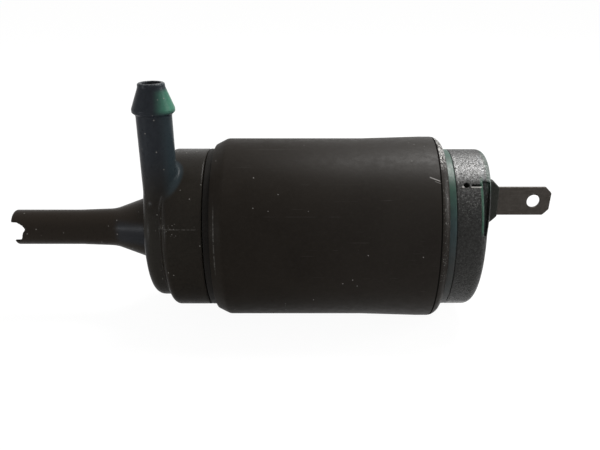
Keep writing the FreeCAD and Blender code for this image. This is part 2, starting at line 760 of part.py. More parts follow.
def make_brush_card():
    """A plate with two open boxes that guide the brushes."""
    body = new_body("brush_card")
    turn_profile(body, [
        (CARD, "card_hole_radius"),
        (CAP_FLANGE, "card_hole_radius"),
        (CAP_FLANGE, CARD_RADIUS),
        (CARD, CARD_RADIUS),
    ])
    half = "(brush_width / 2 + brush_gap)"
    length = "(brush_length + brush_gap * 2)"
    box = new_sketch(body, "YZ_Plane", CARD)
    draw_outline(box, [
        (f"-{half} - box_wall", "box_lift"),
        (f"{half} + box_wall", "box_lift"),
        (f"{half} + box_wall", BOX_TOP),
        (f"-{half} - box_wall", BOX_TOP),
    ])
    walls = extrude(body, box, f"{length} + box_wall", backward=True)
    slide = new_sketch(body, "YZ_Plane", CARD)
    draw_outline(slide, [
        (f"-{half}", f"box_lift - {PAST}"),
        (half, f"box_lift - {PAST}"),
        (half, f"{BOX_TOP} - box_wall"),
        (f"-{half}", f"{BOX_TOP} - box_wall"),
    ])
    channel = extrude(body, slide, length, cut=True, backward=True)
    repeat_round(body, [walls, channel], BRUSH_PAIR)


def make_brushes():
    """Carbon blocks with a hollow face that follows the commutator, and the bowed leaves behind them."""
    face = "(commutator_radius + brush_gap)"
    for label, degrees in (("brush_upper", 0), ("brush_lower", 180)):
        body = new_body(label)
        block = new_sketch(body, "YZ_Plane", f"{CARD} - brush_gap")
        draw_outline(block, [
            ("-brush_width / 2", "commutator_radius / 2"),
            ("brush_width / 2", "commutator_radius / 2"),
            ("brush_width / 2", BRUSH_TOP),
            ("-brush_width / 2", BRUSH_TOP),
        ])
        extrude(body, block, "brush_length", backward=True)
        turn_profile(body, [
            (f"{CARD} - brush_length - {PAST}", "0"),
            (f"{CARD} - brush_length - {PAST}", face),
            (f"{CARD} + {PAST}", face),
            (f"{CARD} + {PAST}", "0"),
        ], cut=True)
        place_about_shaft(body, degrees)
    for label, degrees in (("brush_spring_upper", 0), ("brush_spring_lower", 180)):
        body = new_body(label)
        leaf = new_sketch(body, "YZ_Plane", f"{CARD} - brush_gap - (brush_length - leaf_width) / 2")
        high = f"{BOX_TOP} - box_wall"
        draw_outline(leaf, [
            ("-brush_width / 2", f"{high} - leaf_thickness"),
            ("0", BRUSH_TOP, "leaf_bend"),
            ("brush_width / 2", f"{high} - leaf_thickness"),
            ("brush_width / 2", high),
            ("0", f"{BRUSH_TOP} + leaf_thickness", "leaf_bend - leaf_thickness"),
            ("-brush_width / 2", high),
        ])
        extrude(body, leaf, "leaf_width", backward=True)
        place_about_shaft(body, degrees)


def make_ground_strip():
    """A folded strip from the lower brush box to the can, which is the motor's earth."""
    body = new_body("ground_strip")
    strip = new_sketch(body, "XZ_Plane")
    wall = f"-({CAN_BORE} - fit_gap)"
    draw_outline(strip, [
        (f"{CARD} - strip_thickness", f"-{BOX_TOP}"),
        (CARD, f"-{BOX_TOP}"),
        (CARD, wall),
        (f"{CARD} - strip_fold", wall),
        (f"{CARD} - strip_fold", f"{wall} + strip_thickness"),
        (f"{CARD} - strip_thickness", f"{wall} + strip_thickness"),
    ])
    extrude(body, strip, "strip_width", both=True)


def make_bearings():
    """Sintered bushes with felts, retainers and thrust washers at both ends of the shaft."""
    bore = "shaft_radius + running_gap"
    loose = "shaft_radius + hole_clearance"
    ring("front_bearing", FRONT_BUSH, CARRIER_BACK, bore, "bearing_radius")
    ring("front_felt", f"{FRONT_BUSH} - felt_length", FRONT_BUSH, loose, "bearing_radius")
    plate = f"{CARRIER_BACK} + retainer_thickness"
    ring("front_retainer", CARRIER_BACK, plate, "retainer_hole_radius", "hub_radius - retainer_rim")
    washer = f"{CARRIER_BACK} + end_gap"
    ring("front_thrust_washer", washer, f"{washer} + washer_thickness", "shaft_radius", "washer_radius")
    ring("spacer_sleeve", f"{washer} + washer_thickness", CORE, "shaft_radius", "spacer_radius")
    felt = f"{BOSS} + bearing_length"
    ring("rear_bearing", BOSS, felt, bore, "bearing_radius")
    ring("rear_felt", felt, f"{felt} + felt_length", loose, "bearing_radius")
    plate = f"{BOSS} - retainer_thickness"
    ring("rear_retainer", plate, BOSS, "retainer_hole_radius", "boss_radius - retainer_rim")
    washer = f"{BOSS} - end_gap"
    ring("rear_thrust_washer", f"{washer} - washer_thickness", washer, "shaft_radius", "washer_radius")


def make_seal_ring():
    """The smooth band that shows between the can's lip and the cap."""
    ring("cap_seal_ring", CAN_REAR, CAP_FACE, f"{CAP_RADIUS} - seal_depth", CAP_RADIUS)


def blade_outline():
    """The terminal's flat outline: a blade with a slanted, cornered tip and a narrow tail inside."""
    low = "blade_height - blade_width / 2"
    high = "blade_height + blade_width / 2"
    root = f"{CAP_FLOOR} + blade_seat"
    return [
        (root, low),
        (f"{BLADE_TIP} - blade_tip_slant - blade_corner", low),
        (f"{BLADE_TIP} - blade_tip_slant", f"{low} + blade_corner"),
        (BLADE_TIP, f"{high} - blade_corner"),
        (f"{BLADE_TIP} - blade_corner", high),
        (root, high),
        (root, "tail_height + tail_width / 2"),
        (CAP_FLANGE, "tail_height + tail_width / 2"),
        (CAP_FLANGE, "tail_height - tail_width / 2"),
        (root, "tail_height - tail_width / 2"),
    ]


def tilted_sketch(body, angle, height):
    """A sketch that faces the near side, tilted up by an angle, at a height above the shaft's axis."""
    sketch = new_sketch(body, "XZ_Plane")
    tilt = FreeCAD.Rotation(FreeCAD.Vector(1, 0, 0), -number(angle))
    sketch.AttachmentOffset = FreeCAD.Placement(FreeCAD.Vector(0, 0, 0), tilt)
    sketch.setExpression("AttachmentOffset.Rotation.Angle", bound(f"-{angle}"))
    sketch.setExpression("AttachmentOffset.Base.y", bound(f"({height}) * sin({angle})"))
    sketch.setExpression("AttachmentOffset.Base.z", bound(f"({height}) * cos({angle})"))
    return sketch


# End cap: a cup crimped into the can, cut off aslant, with a side recess just below its rim
def make_end_cap():
    body = new_body("end_cap")
    groove = f"{CAP_RADIUS} - seal_depth"
    full = f"{CAP_END} + {CAP_RADIUS}"
    turn_profile(body, [
        (CAP_FLANGE, f"{CAP_RADIUS} - cap_wall"),
        (CAP_FLANGE, f"{CAN_BORE} - fit_gap"),
        (f"{CAN_REAR} - lip_wall - crimp_slope", f"{CAN_BORE} - fit_gap"),
        (f"{CAN_REAR} - lip_wall", f"{CAP_RADIUS} + fit_gap"),
        (f"{CAN_REAR} - lip_wall", CAP_RADIUS),
        (CAN_REAR, CAP_RADIUS),
        (CAN_REAR, groove),
        (CAP_FACE, groove),
        (CAP_FACE, CAP_RADIUS),
        (full, CAP_RADIUS),
        (full, "0"),
        (CAP_FLOOR, "0"),
        (f"{BOSS} + bearing_length + felt_length", "0"),
        (f"{BOSS} + bearing_length + felt_length", "bearing_radius"),
        (BOSS, "bearing_radius"),
        (BOSS, "boss_radius"),
        (CAP_FLOOR, "boss_radius"),
        (CAP_FLOOR, f"{CAP_RADIUS} - cap_wall"),
    ])
    beyond = f"({CAP_RADIUS} + {PAST})"
    slant = new_sketch(body, "XZ_Plane")
    draw_outline(slant, [
        (f"{CAP_END} - {beyond} * tan(cap_slant)", f"-{beyond}"),
        (f"{full} + {PAST}", f"-{beyond}"),
        (f"{full} + {PAST}", beyond),
        (crown_station(beyond), beyond),
        (crown_station("crown_height"), "crown_height", "crown_round"),
    ])
    cut_end = extrude(body, slant, f"{beyond} * 2", cut=True, both=True)
    round_end_rim(body, cut_end)
    add_collar(body)
    cut_latch_recess(body)
    cut_vent_marks(body)
    slot = new_sketch(body, "XZ_Plane")
    draw_outline(slot, blade_outline())
    extrude(body, slot, "blade_thickness", cut=True, both=True)


def crown_station(height):
    """Where the steeper upper part of the cap's end stands, at a height above the shaft's axis."""
    return f"{CAP_END} + crown_height * tan(cap_slant) + (({height}) - crown_height) * tan(crown_slant)"


def round_end_rim(body, feature):
    """Rounds every edge between the cap's wall and its slanted end."""
    doc.recompute()
    wall = number(CAP_RADIUS)
    edges = []
    for index, edge in enumerate(feature.Shape.Edges, start=1):
        points = edge.discretize(Number=7)
        on_wall = all(abs(math.hypot(point.y, point.z) - wall) < 0.001 for point in points)
        behind = all(point.x > number(CAP_FLOOR) for point in points)
        if on_wall and behind:
            edges.append(f"Edge{index}")
    fillet = body.newObject("PartDesign::Fillet", "end_cap_rim")
    fillet.Base = (feature, edges)
    fillet.setExpression("Radius", bound("cap_round"))


def add_collar(body):
    """A flared collar on the cap's end that holds the terminal's root."""
    low = "blade_height - blade_width / 2"
    high = "blade_height + blade_width / 2"
    root = f"{CAP_END} - cap_round / 2"
    tip = f"{CAP_END} + collar_length"
    collar = new_sketch(body, "XZ_Plane")
    draw_outline(collar, [
        (root, f"{low} - collar_flare"),
        (f"{tip} - collar_taper", f"{low} - collar_flare", "collar_round"),
        (tip, f"{low} - collar_lip"),
        (tip, f"{high} + collar_lip"),
        (f"{tip} - collar_taper", f"{high} + collar_flare", "collar_round"),
        (root, f"{high} + collar_flare"),
    ])
    extrude(body, collar, "blade_thickness + collar_wall * 2", both=True)


def cut_latch_recess(body):
    """A wedge-shaped recess in the near side, with a square front edge and a thin rim along the end."""
    recess = tilted_sketch(body, "latch_angle", f"{CAP_RADIUS} - latch_depth")
    start = f"{CAP_FACE} + latch_station"
    lift = f"{CAP_RADIUS} * sin(latch_angle)"
    ends = []
    for side in ("-latch_half_height", "latch_half_height"):
        height = f"{side} * cos(latch_angle) + {lift}"
        ends.append(f"{crown_station(height)} - latch_rim")
    draw_outline(recess, [
        (start, "-latch_half_height"),
        (ends[0], "-latch_half_height"),
        (ends[1], "latch_half_height"),
        (start, "latch_half_height"),
    ])
    extrude(body, recess, f"latch_depth + {PAST}", cut=True)


def cut_vent_marks(body):
    """A pin-hole and a short slit beside it, in the near side of the wall."""
    station = f"{CAP_FACE} + pin_hole_station"
    hole = tilted_sketch(body, "pin_hole_angle", f"{CAP_RADIUS} - pin_hole_depth")
    draw_circle(hole, station, "0", "pin_hole_radius")
    extrude(body, hole, f"pin_hole_depth + {PAST}", cut=True)
    slit = tilted_sketch(body, "pin_hole_angle", f"{CAP_RADIUS} - slit_depth")
    front = f"{station} + pin_hole_radius + slit_width"
    draw_outline(slit, [
        (front, "-slit_width / 2"),
        (f"{front} + slit_length", "-slit_width / 2"),
        (f"{front} + slit_length", "slit_width / 2"),
        (front, "slit_width / 2"),
    ])
    extrude(body, slit, f"slit_depth + {PAST}", cut=True)


def make_spade_terminal():
    body = new_body("spade_terminal")
    blade = new_sketch(body, "XZ_Plane")
    draw_outline(blade, blade_outline())
    extrude(body, blade, "blade_thickness", both=True)
    hole = new_sketch(body, "XZ_Plane")
    draw_circle(hole, f"{BLADE_TIP} - blade_hole_setback", "blade_height", "blade_hole_radius")
    extrude(body, hole, f"blade_thickness + {PAST} * 2", cut=True, both=True)


MAKERS = (
    make_pump_head,
    make_head_oring,
    make_seal_carrier,
    make_shaft_seal,
    make_impeller,
    make_shaft,
    make_motor_can,
    make_magnets,
    make_armature,
    make_commutator,
    make_brush_card,
    make_brushes,
    make_ground_strip,
    make_bearings,
    make_seal_ring,
    make_end_cap,
    make_spade_terminal,
)
for maker in MAKERS:
    maker()
doc.recompute()

for item in doc.Objects:
    if "Invalid" in item.State or "Error" in item.State:
        raise RuntimeError(f"{item.Label} failed: {item.State}")
os.makedirs("parts", exist_ok=True)
for label, piece in PIECES.items():
    if piece.Shape.isNull() or not piece.Shape.isValid():
        raise RuntimeError(f"{label} has no valid shape")
    piece.Shape.exportStep(f"parts/{label}.step")
    print(label, round(piece.Shape.Volume, 1), len(piece.Shape.Solids))
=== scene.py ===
import math

import bmesh
import bpy
import numpy as np
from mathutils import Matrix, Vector


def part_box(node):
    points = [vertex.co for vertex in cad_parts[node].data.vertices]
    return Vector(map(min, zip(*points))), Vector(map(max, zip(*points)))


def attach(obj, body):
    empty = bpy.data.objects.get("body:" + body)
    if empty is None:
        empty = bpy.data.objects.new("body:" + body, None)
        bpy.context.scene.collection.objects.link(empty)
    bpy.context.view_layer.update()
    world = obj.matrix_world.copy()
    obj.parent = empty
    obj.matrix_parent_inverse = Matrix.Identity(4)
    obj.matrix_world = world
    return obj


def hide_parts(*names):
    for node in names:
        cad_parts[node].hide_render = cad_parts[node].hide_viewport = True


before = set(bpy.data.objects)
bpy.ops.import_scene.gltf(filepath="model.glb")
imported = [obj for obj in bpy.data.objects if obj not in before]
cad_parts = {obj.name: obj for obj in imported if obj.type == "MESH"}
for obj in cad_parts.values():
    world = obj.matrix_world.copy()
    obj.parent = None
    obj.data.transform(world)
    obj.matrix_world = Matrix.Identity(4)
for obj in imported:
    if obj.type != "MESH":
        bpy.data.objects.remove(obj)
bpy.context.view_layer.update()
MM = 0.001

# Sizes of the shown pieces in millimetres, as the solids have them
CAN_RADIUS = 19.42
CAN_SWELL = 0.37
CAN_WALL = 1.2
HEAD_RADIUS = 17.22
CAP_RADIUS = 17.1
NOSE_RADIUS = 15.02
SOCKET_RADIUS = 15.42
CHAMBER_RADIUS = 11.12
SPIGOT_LENGTH = 22.7
SPIGOT_RADIUS = 3.85
INLET_BORE = 2.3
CONE_LENGTH = 8.9
NOSE_STEP = 12.6
SEAM = 21.45
SOCKET = 17.75
CHAMBER = 11.25
CARRIER_RING = 21.6
CAN_FRONT = 23.0
CAN_REAR = 71.5
CARRIER_BACK = 27.55
CAP_FACE = 73.0
CAP_FLANGE = 68.0
CAP_FLOOR = 76.2
CAP_END = 79.4
BOSS = 70.4
NOZZLE_X = 12.42
NOZZLE_Y = -9.0
NOZZLE_HEIGHT = 32.8
NOZZLE_RADIUS = 3.58
NOZZLE_BORE = 1.9
BARB_RADIUS = 4.28
TIP_RADIUS = 2.7
BLADE_HEIGHT = 6.07
BLADE_TIP = 96.3
HALF_WIDTH = 3.15
HALF_THICKNESS = 0.4


# Shapes as distance fields, positive outside, in millimetres
def rounded(corners):
    """The outline of (x, y) corners, where a third entry rounds the corner by that radius."""
    line = []
    count = len(corners)
    for i, corner in enumerate(corners):
        here = np.array(corner[:2], float)
        if len(corner) < 3:
            line.append(here)
            continue
        back = np.array(corners[i - 1][:2], float) - here
        onward = np.array(corners[(i + 1) % count][:2], float) - here
        back /= np.linalg.norm(back)
        onward /= np.linalg.norm(onward)
        half = math.acos(float(np.clip(back @ onward, -1, 1))) / 2
        middle = (back + onward) / np.linalg.norm(back + onward)
        centre = here + middle * corner[2] / math.sin(half)
        first = here + back * corner[2] / math.tan(half) - centre
        last = here + onward * corner[2] / math.tan(half) - centre
        start = math.atan2(first[1], first[0])
        turn = math.atan2(last[1], last[0]) - start
        turn = (turn + math.pi) % (2 * math.pi) - math.pi
        for step in np.linspace(0, 1, 9):
            angle = start + turn * step
            line.append(centre + corner[2] * np.array([math.cos(angle), math.sin(angle)]))
    return np.array(line)


def outline_distance(line, x, y):
    """Signed distance to a closed outline."""
    nearest = np.full(x.shape, 1e9)
    inside = np.zeros(x.shape, bool)
    for start, end in zip(line, np.roll(line, -1, axis=0)):
        side = end - start
        length = side @ side
        if length < 1e-12:
            continue
        along = np.clip(((x - start[0]) * side[0] + (y - start[1]) * side[1]) / length, 0, 1)
        gap = (x - start[0] - along * side[0]) ** 2 + (y - start[1] - along * side[1]) ** 2
        nearest = np.minimum(nearest, gap)
        crosses = (start[1] > y) != (end[1] > y)
        rise = side[1] if abs(side[1]) > 1e-12 else 1e-12
        inside ^= crosses & (x < start[0] + (y - start[1]) * side[0] / rise)
    return np.where(inside, -1, 1) * np.sqrt(nearest)


def flat_field(corners, spacing=0.06, margin=1.5):
    """A distance field in two coordinates, read from a fine table of the outline's distances."""
    line = rounded(corners)
    low = line.min(0) - margin
    high = line.max(0) + margin
    xs = np.arange(low[0], high[0] + spacing, spacing)
    ys = np.arange(low[1], high[1] + spacing, spacing)
    table = outline_distance(line, *np.meshgrid(xs, ys, indexing="ij"))

    def field(x, y):
        u = np.clip((x - low[0]) / spacing, 0, len(xs) - 1.001)
        v = np.clip((y - low[1]) / spacing, 0, len(ys) - 1.001)
        i = u.astype(int)
        j = v.astype(int)
        u = u - i
        v = v - j
        near = table[i, j] * (1 - v) + table[i, j + 1] * v
        far = table[i + 1, j] * (1 - v) + table[i + 1, j + 1] * v
        past_x = np.abs(x - np.clip(x, xs[0], xs[-1]))
        past_y = np.abs(y - np.clip(y, ys[0], ys[-1]))
        beyond = np.maximum(past_x, past_y)
        return near * (1 - u) + far * u + beyond

    return field


def smooth_join(a, b, width):
    blend = np.maximum(width - np.abs(a - b), 0) / width
    return np.minimum(a, b) - blend * blend * width / 4


def smooth_cut(a, b, width):
    """a without b, with the new edge eased by the width."""
    return -smooth_join(-a, b, width)


def round_meet(a, b, radius):
    """Where both fields hold, with the edge between them rounded by the radius."""
    corner = np.sqrt(np.maximum(a + radius, 0) ** 2 + np.maximum(b + radius, 0) ** 2)
    return np.minimum(np.maximum(a, b), -radius) + corner


def surface_net(field, low, high, step):
    """Vertices, normals and quads where the field is zero, each vertex drawn onto the exact surface."""
    axes = [np.arange(a, b + step, step) for a, b in zip(low, high)]
    grid = np.meshgrid(*axes, indexing="ij")
    values = field(*grid)
    inside = values < 0
    cells = tuple(n - 1 for n in values.shape)
    total = np.zeros(cells)
    points = np.zeros(cells + (3,))
    for axis in range(3):
        others = [n for n in range(3) if n != axis]
        first = [slice(None)] * 3
        second = [slice(None)] * 3
        first[axis] = slice(None, -1)
        second[axis] = slice(1, None)
        a = values[tuple(first)]
        b = values[tuple(second)]
        crossing = (a < 0) != (b < 0)
        share = np.where(crossing, a / np.where(crossing, a - b, 1), 0)
        for u in (0, 1):
            for v in (0, 1):
                part = [slice(None)] * 3
                part[others[0]] = slice(u, u + cells[others[0]])
                part[others[1]] = slice(v, v + cells[others[1]])
                hit = crossing[tuple(part)]
                total += hit
                points[..., axis] += hit * share[tuple(part)]
                points[..., others[0]] += hit * u
                points[..., others[1]] += hit * v
    active = total > 0
    number = np.full(cells, -1)
    number[active] = np.arange(active.sum())
    where = np.argwhere(active)
    vertices = where + points[active] / total[active][:, None]
    vertices = vertices * step + np.array(low)
    quads = []
    for axis in range(3):
        u, v = [n for n in range(3) if n != axis]
        first = [slice(None)] * 3
        second = [slice(None)] * 3
        first[axis] = slice(None, -1)
        second[axis] = slice(1, None)
        a = inside[tuple(first)]
        crossing = a != inside[tuple(second)]
        edges = np.argwhere(crossing)
        outward = a[crossing]
        safe = (edges[:, u] > 0) & (edges[:, v] > 0) & (edges[:, u] < cells[u]) & (edges[:, v] < cells[v])
        edges = edges[safe]
        outward = outward[safe]
        ring = []
        for du, dv in ((1, 1), (0, 1), (0, 0), (1, 0)):
            cell = edges.copy()
            cell[:, u] -= du
            cell[:, v] -= dv
            ring.append(number[tuple(cell.T)])
        ring = np.stack(ring, 1)
        forward = outward if axis != 1 else ~outward
        ring[~forward] = ring[~forward][:, ::-1]
        quads.append(ring)
    quads = np.concatenate(quads)

    def slope(p, reach=0.03):
        out = np.zeros_like(p)
        for n in range(3):
            shift = np.zeros(3)
            shift[n] = reach
            out[:, n] = field(*(p + shift).T) - field(*(p - shift).T)
        return out / (2 * reach)

    for _ in range(4):
        gradient = slope(vertices)
        size = np.maximum((gradient ** 2).sum(1), 0.25)
        move = -field(*vertices.T)[:, None] * gradient / size[:, None]
        reach = np.linalg.norm(move, axis=1)[:, None]
        vertices = vertices + move * np.minimum(1, 0.4 * step / np.maximum(reach, 1e-9))
    normals = slope(vertices)
    normals /= np.maximum(np.linalg.norm(normals, axis=1)[:, None], 1e-9)
    return vertices, normals, quads


# Meshes
def new_object(name, vertices, faces, node, body="housing", normals=None):
    """A smooth-shaded object that stands for a CAD node and rides on its body."""
    mesh = bpy.data.meshes.new(name)
    mesh.vertices.add(len(vertices))
    mesh.vertices.foreach_set("co", (np.asarray(vertices) * MM).astype(np.float32).ravel())
    faces = np.asarray(faces)
    sides = faces.shape[1]
    mesh.loops.add(faces.size)
    mesh.loops.foreach_set("vertex_index", faces.astype(np.int32).ravel())
    mesh.polygons.add(len(faces))
    mesh.polygons.foreach_set("loop_start", np.arange(0, faces.size, sides, dtype=np.int32))
    mesh.update(calc_edges=True)
    mesh.validate()
    mesh.polygons.foreach_set("use_smooth", np.ones(len(mesh.polygons), bool))
    if normals is not None:
        mesh.normals_split_custom_set_from_vertices(normals.tolist())
    piece = bpy.data.objects.new(name, mesh)
    bpy.context.scene.collection.objects.link(piece)
    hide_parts(node)
    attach(piece, body)
    return piece


def field_piece(name, field, low, high, step, node):
    vertices, normals, quads = surface_net(field, low, high, step)
    lowest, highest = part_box(node)
    vertices = np.clip(vertices, np.array(lowest) / MM, np.array(highest) / MM)
    return new_object(name, vertices, quads, node, normals=normals)


def lathe_piece(name, corners, node, turns=288, dent=None):
    """A closed ring turned about the shaft from an outline of (station, radius) corners."""
    line = rounded(corners)
    dense = []
    for start, end in zip(line, np.roll(line, -1, axis=0)):
        gap = np.linalg.norm(end - start)
        parts = max(1, int(gap / 2.0)) if gap > 0.01 else 0
        for k in range(parts):
            dense.append(start + (end - start) * k / parts)
    line = np.array(dense)
    angles = np.linspace(0, 2 * math.pi, turns, endpoint=False)
    station = np.repeat(line[:, :1], turns, 1)
    radius = np.repeat(line[:, 1:], turns, 1)
    angle = np.repeat(angles[None, :], len(line), 0)
    if dent is not None:
        radius = radius - dent(station, radius, angle)
    vertices = np.stack([station, -radius * np.cos(angle), radius * np.sin(angle)], 2).reshape(-1, 3)
    rows = len(line)
    i, j = np.meshgrid(np.arange(rows), np.arange(turns), indexing="ij")
    k = (i + 1) % rows
    m = (j + 1) % turns
    faces = np.stack([i * turns + j, k * turns + j, k * turns + m, i * turns + m], 2).reshape(-1, 4)
    piece = new_object(name, vertices, faces, node)
    work = bmesh.new()
    work.from_mesh(piece.data)
    bmesh.ops.recalc_face_normals(work, faces=work.faces)
    for edge in work.edges:
        if len(edge.link_faces) == 2 and edge.calc_face_angle(0) > math.radians(28):
            edge.smooth = False
    work.to_mesh(piece.data)
    work.free()
    return piece


# Pump head
head_profile = flat_field([
    (-SPIGOT_LENGTH, -6.0),
    (-SPIGOT_LENGTH, SPIGOT_RADIUS, 0.8),
    (-8.0, SPIGOT_RADIUS),
    (0.0, SPIGOT_RADIUS + 0.3, 8.0),
    (CONE_LENGTH, 7.4, 0.25),
    (CONE_LENGTH, NOSE_RADIUS, 2.0),
    (NOSE_STEP, NOSE_RADIUS, 0.25),
    (NOSE_STEP + 1.05, HEAD_RADIUS, 1.5),
    (SEAM, HEAD_RADIUS, 0.3),
    (SEAM, -6.0),
])
BARB = 26.66
nozzle_profile = flat_field([
    (-4.0, -2.0),
    (NOZZLE_RADIUS, -2.0, 2.8),
    (NOZZLE_RADIUS, BARB, 0.12),
    (BARB_RADIUS, BARB + 0.6, 0.12),
    (BARB_RADIUS, BARB + 1.25, 0.2),
    (TIP_RADIUS, BARB + 5.35, 1.0),
    (TIP_RADIUS, NOZZLE_HEIGHT, 0.35),
    (-4.0, NOZZLE_HEIGHT),
])
inlet_profile = flat_field([
    (-SPIGOT_LENGTH - 2, -4.0),
    (-SPIGOT_LENGTH - 2, INLET_BORE),
    (CHAMBER - 5.0, INLET_BORE),
    (CHAMBER, 4.2),
    (CHAMBER + 0.2, -4.0),
])
NOTCH = -SPIGOT_LENGTH + 3.3
NOTCH_TOP = 0.95
NOTCH_BOTTOM = -2.8
LOBE = -SPIGOT_LENGTH + 0.5
notch_outline = flat_field([
    (-SPIGOT_LENGTH - 2, NOTCH_TOP),
    (NOTCH - 1.9, NOTCH_TOP, 1.2),
    (NOTCH - 0.5, 0.1, 1.5),
    (NOTCH, -0.7),
    (NOTCH - 0.6, -1.3),
    (NOTCH - 1.2, NOTCH_BOTTOM, 0.6),
    (LOBE, NOTCH_BOTTOM),
    (LOBE, -SPIGOT_RADIUS - 2),
    (-SPIGOT_LENGTH - 2, -SPIGOT_RADIUS - 2),
])
NOTCH_TILT = math.radians(19.5)
CHAMBER_SHIFT = 1.5


def head_field(x, y, z):
    around = np.hypot(y, z)
    upright = np.hypot(x - NOZZLE_X, y - NOZZLE_Y)
    body = head_profile(x, around)
    body = smooth_join(body, nozzle_profile(upright, z), 0.8)
    body = smooth_cut(body, inlet_profile(x, around), 0.25)
    chamber = np.hypot(y + CHAMBER_SHIFT, z) - CHAMBER_RADIUS
    chamber = np.maximum(chamber, np.maximum(CHAMBER - x, x - SOCKET - 0.2))
    socket = np.maximum(around - SOCKET_RADIUS, SOCKET - x)
    body = np.maximum(body, -np.minimum(chamber, socket))
    body = smooth_cut(body, np.maximum(upright - NOZZLE_BORE, -z), 0.2)
    level = z * math.cos(NOTCH_TILT) + y * math.sin(NOTCH_TILT)
    return smooth_cut(body, notch_outline(x, level), 0.3)


head = field_piece("head", head_field, (-23.4, -17.7, -17.7), (22.1, 17.7, 33.4), 0.33, "pump_head")

# End cap
CAN_BORE = CAN_RADIUS - CAN_WALL
CAP_BORE = CAP_RADIUS - 2.0
BAND_FLOOR = CAP_RADIUS - 1.1
BUSH_RADIUS = 3.5
cap_profile = flat_field([
    (CAP_FLANGE, CAP_BORE),
    (CAP_FLANGE, CAN_BORE - 0.05),
    (CAN_REAR - 1.9, CAN_BORE - 0.05),
    (CAN_REAR - 1.3, CAP_RADIUS + 0.05),
    (CAN_REAR - 1.3, CAP_RADIUS),
    (CAN_REAR, CAP_RADIUS),
    (CAN_REAR, BAND_FLOOR),
    (CAP_FACE, BAND_FLOOR),
    (CAP_FACE, CAP_RADIUS, 0.25),
    (CAP_END + 8, CAP_RADIUS),
    (CAP_END + 8, -3.0),
    (BOSS + 4.6, -3.0),
    (BOSS + 4.6, BUSH_RADIUS),
    (BOSS, BUSH_RADIUS),
    (BOSS, 5.1),
    (CAP_FLOOR, 5.1),
    (CAP_FLOOR, CAP_BORE),
])
LOW_SLANT = math.tan(math.radians(1.4))
CROWN_SLANT = math.tan(math.radians(7.1))
CROWN_HEIGHT = 3.6
RECESS_ANGLE = math.radians(33.0)
RECESS_START = CAP_FACE + 5.45
VENT_ANGLE = math.radians(49.0)
VENT_STATION = CAP_FACE + 2.15
SLIT_START = VENT_STATION + 1.0
SLIT_END = VENT_STATION + 3.0
LOW_EDGE = BLADE_HEIGHT - HALF_WIDTH
HIGH_EDGE = BLADE_HEIGHT + HALF_WIDTH
TAIL_LOW = 5.7
TAIL_HIGH = 8.7
BLADE_CORNERS = [
    (CAP_FLOOR + 1.0, LOW_EDGE),
    (BLADE_TIP - 1.5, LOW_EDGE, 0.5),
    (BLADE_TIP - 0.2, LOW_EDGE + 1.3, 0.5),
    (BLADE_TIP, HIGH_EDGE - 1.3, 0.5),
    (BLADE_TIP - 1.3, HIGH_EDGE, 0.5),
    (CAP_FLOOR + 1.0, HIGH_EDGE),
    (CAP_FLOOR + 1.0, TAIL_HIGH),
    (CAP_FLANGE, TAIL_HIGH),
    (CAP_FLANGE, TAIL_LOW),
    (CAP_FLOOR + 1.0, TAIL_LOW),
]
blade_outline = flat_field(BLADE_CORNERS)
COLLAR_TIP = CAP_END + 5.2
collar_outline = flat_field([
    (CAP_END - 1.0, LOW_EDGE - 1.5),
    (COLLAR_TIP - 1.4, LOW_EDGE - 1.5, 0.8),
    (COLLAR_TIP, LOW_EDGE - 0.1, 0.2),
    (COLLAR_TIP, HIGH_EDGE + 0.1, 0.2),
    (COLLAR_TIP - 1.4, HIGH_EDGE + 1.5, 0.8),
    (CAP_END - 1.0, HIGH_EDGE + 1.5),
])


def cap_end_station(z):
    return CAP_END + np.minimum(z, CROWN_HEIGHT) * LOW_SLANT + np.maximum(z - CROWN_HEIGHT, 0) * CROWN_SLANT


def seen_from(angle, y, z):
    """Across and outward coordinates of a mark that faces an angle above the near side."""
    return z * math.cos(angle) + y * math.sin(angle), z * math.sin(angle) - y * math.cos(angle)


def box_field(x, x_low, x_high, across, half, out, floor):
    sides = np.maximum(np.maximum(x_low - x, x - x_high), np.abs(across) - half)
    return np.maximum(sides, floor - out)


def cap_field(x, y, z):
    around = np.hypot(y, z)
    end = (x - cap_end_station(z)) * 0.995
    body = round_meet(cap_profile(x, around), end, 2.0)
    inner = cap_profile(x, around)
    body = np.where(x < CAP_FACE + 0.5, np.maximum(inner, end), body)
    body = smooth_join(body, round_meet(collar_outline(x, z), np.abs(y) - 1.2, 0.3), 0.5)
    across, out = seen_from(RECESS_ANGLE, y, z)
    rim = cap_end_station(z) - 0.5
    recess = box_field(x, RECESS_START, rim, across, 5.6, out, CAP_RADIUS - 2.2)
    body = smooth_cut(body, recess, 0.25)
    across, out = seen_from(VENT_ANGLE, y, z)
    pin = np.maximum(np.hypot(x - VENT_STATION, across) - 0.55, CAP_RADIUS - 1.5 - out)
    slit = box_field(x, SLIT_START, SLIT_END, across, 0.225, out, CAP_RADIUS - 0.7)
    body = smooth_cut(body, np.minimum(pin, slit), 0.15)
    return np.maximum(body, -np.maximum(blade_outline(x, z), np.abs(y) - HALF_THICKNESS))


cap_low = (CAP_FLANGE - 0.5, -18.7, -18.7)
cap = field_piece("cap", cap_field, cap_low, (85.2, 18.7, 18.7), 0.26, "end_cap")


# Terminal blade
def blade_field(x, y, z):
    body = round_meet(blade_outline(x, z), np.abs(y) - HALF_THICKNESS, 0.12)
    hole = 1.45 - np.hypot(x - BLADE_TIP + 3.8, z - BLADE_HEIGHT)
    return round_meet(body, hole, 0.1)


blade_low = (CAP_FLANGE - 0.4, -0.8, 2.4)
blade = field_piece("blade", blade_field, blade_low, (96.7, 0.8, 9.9), 0.13, "spade_terminal")


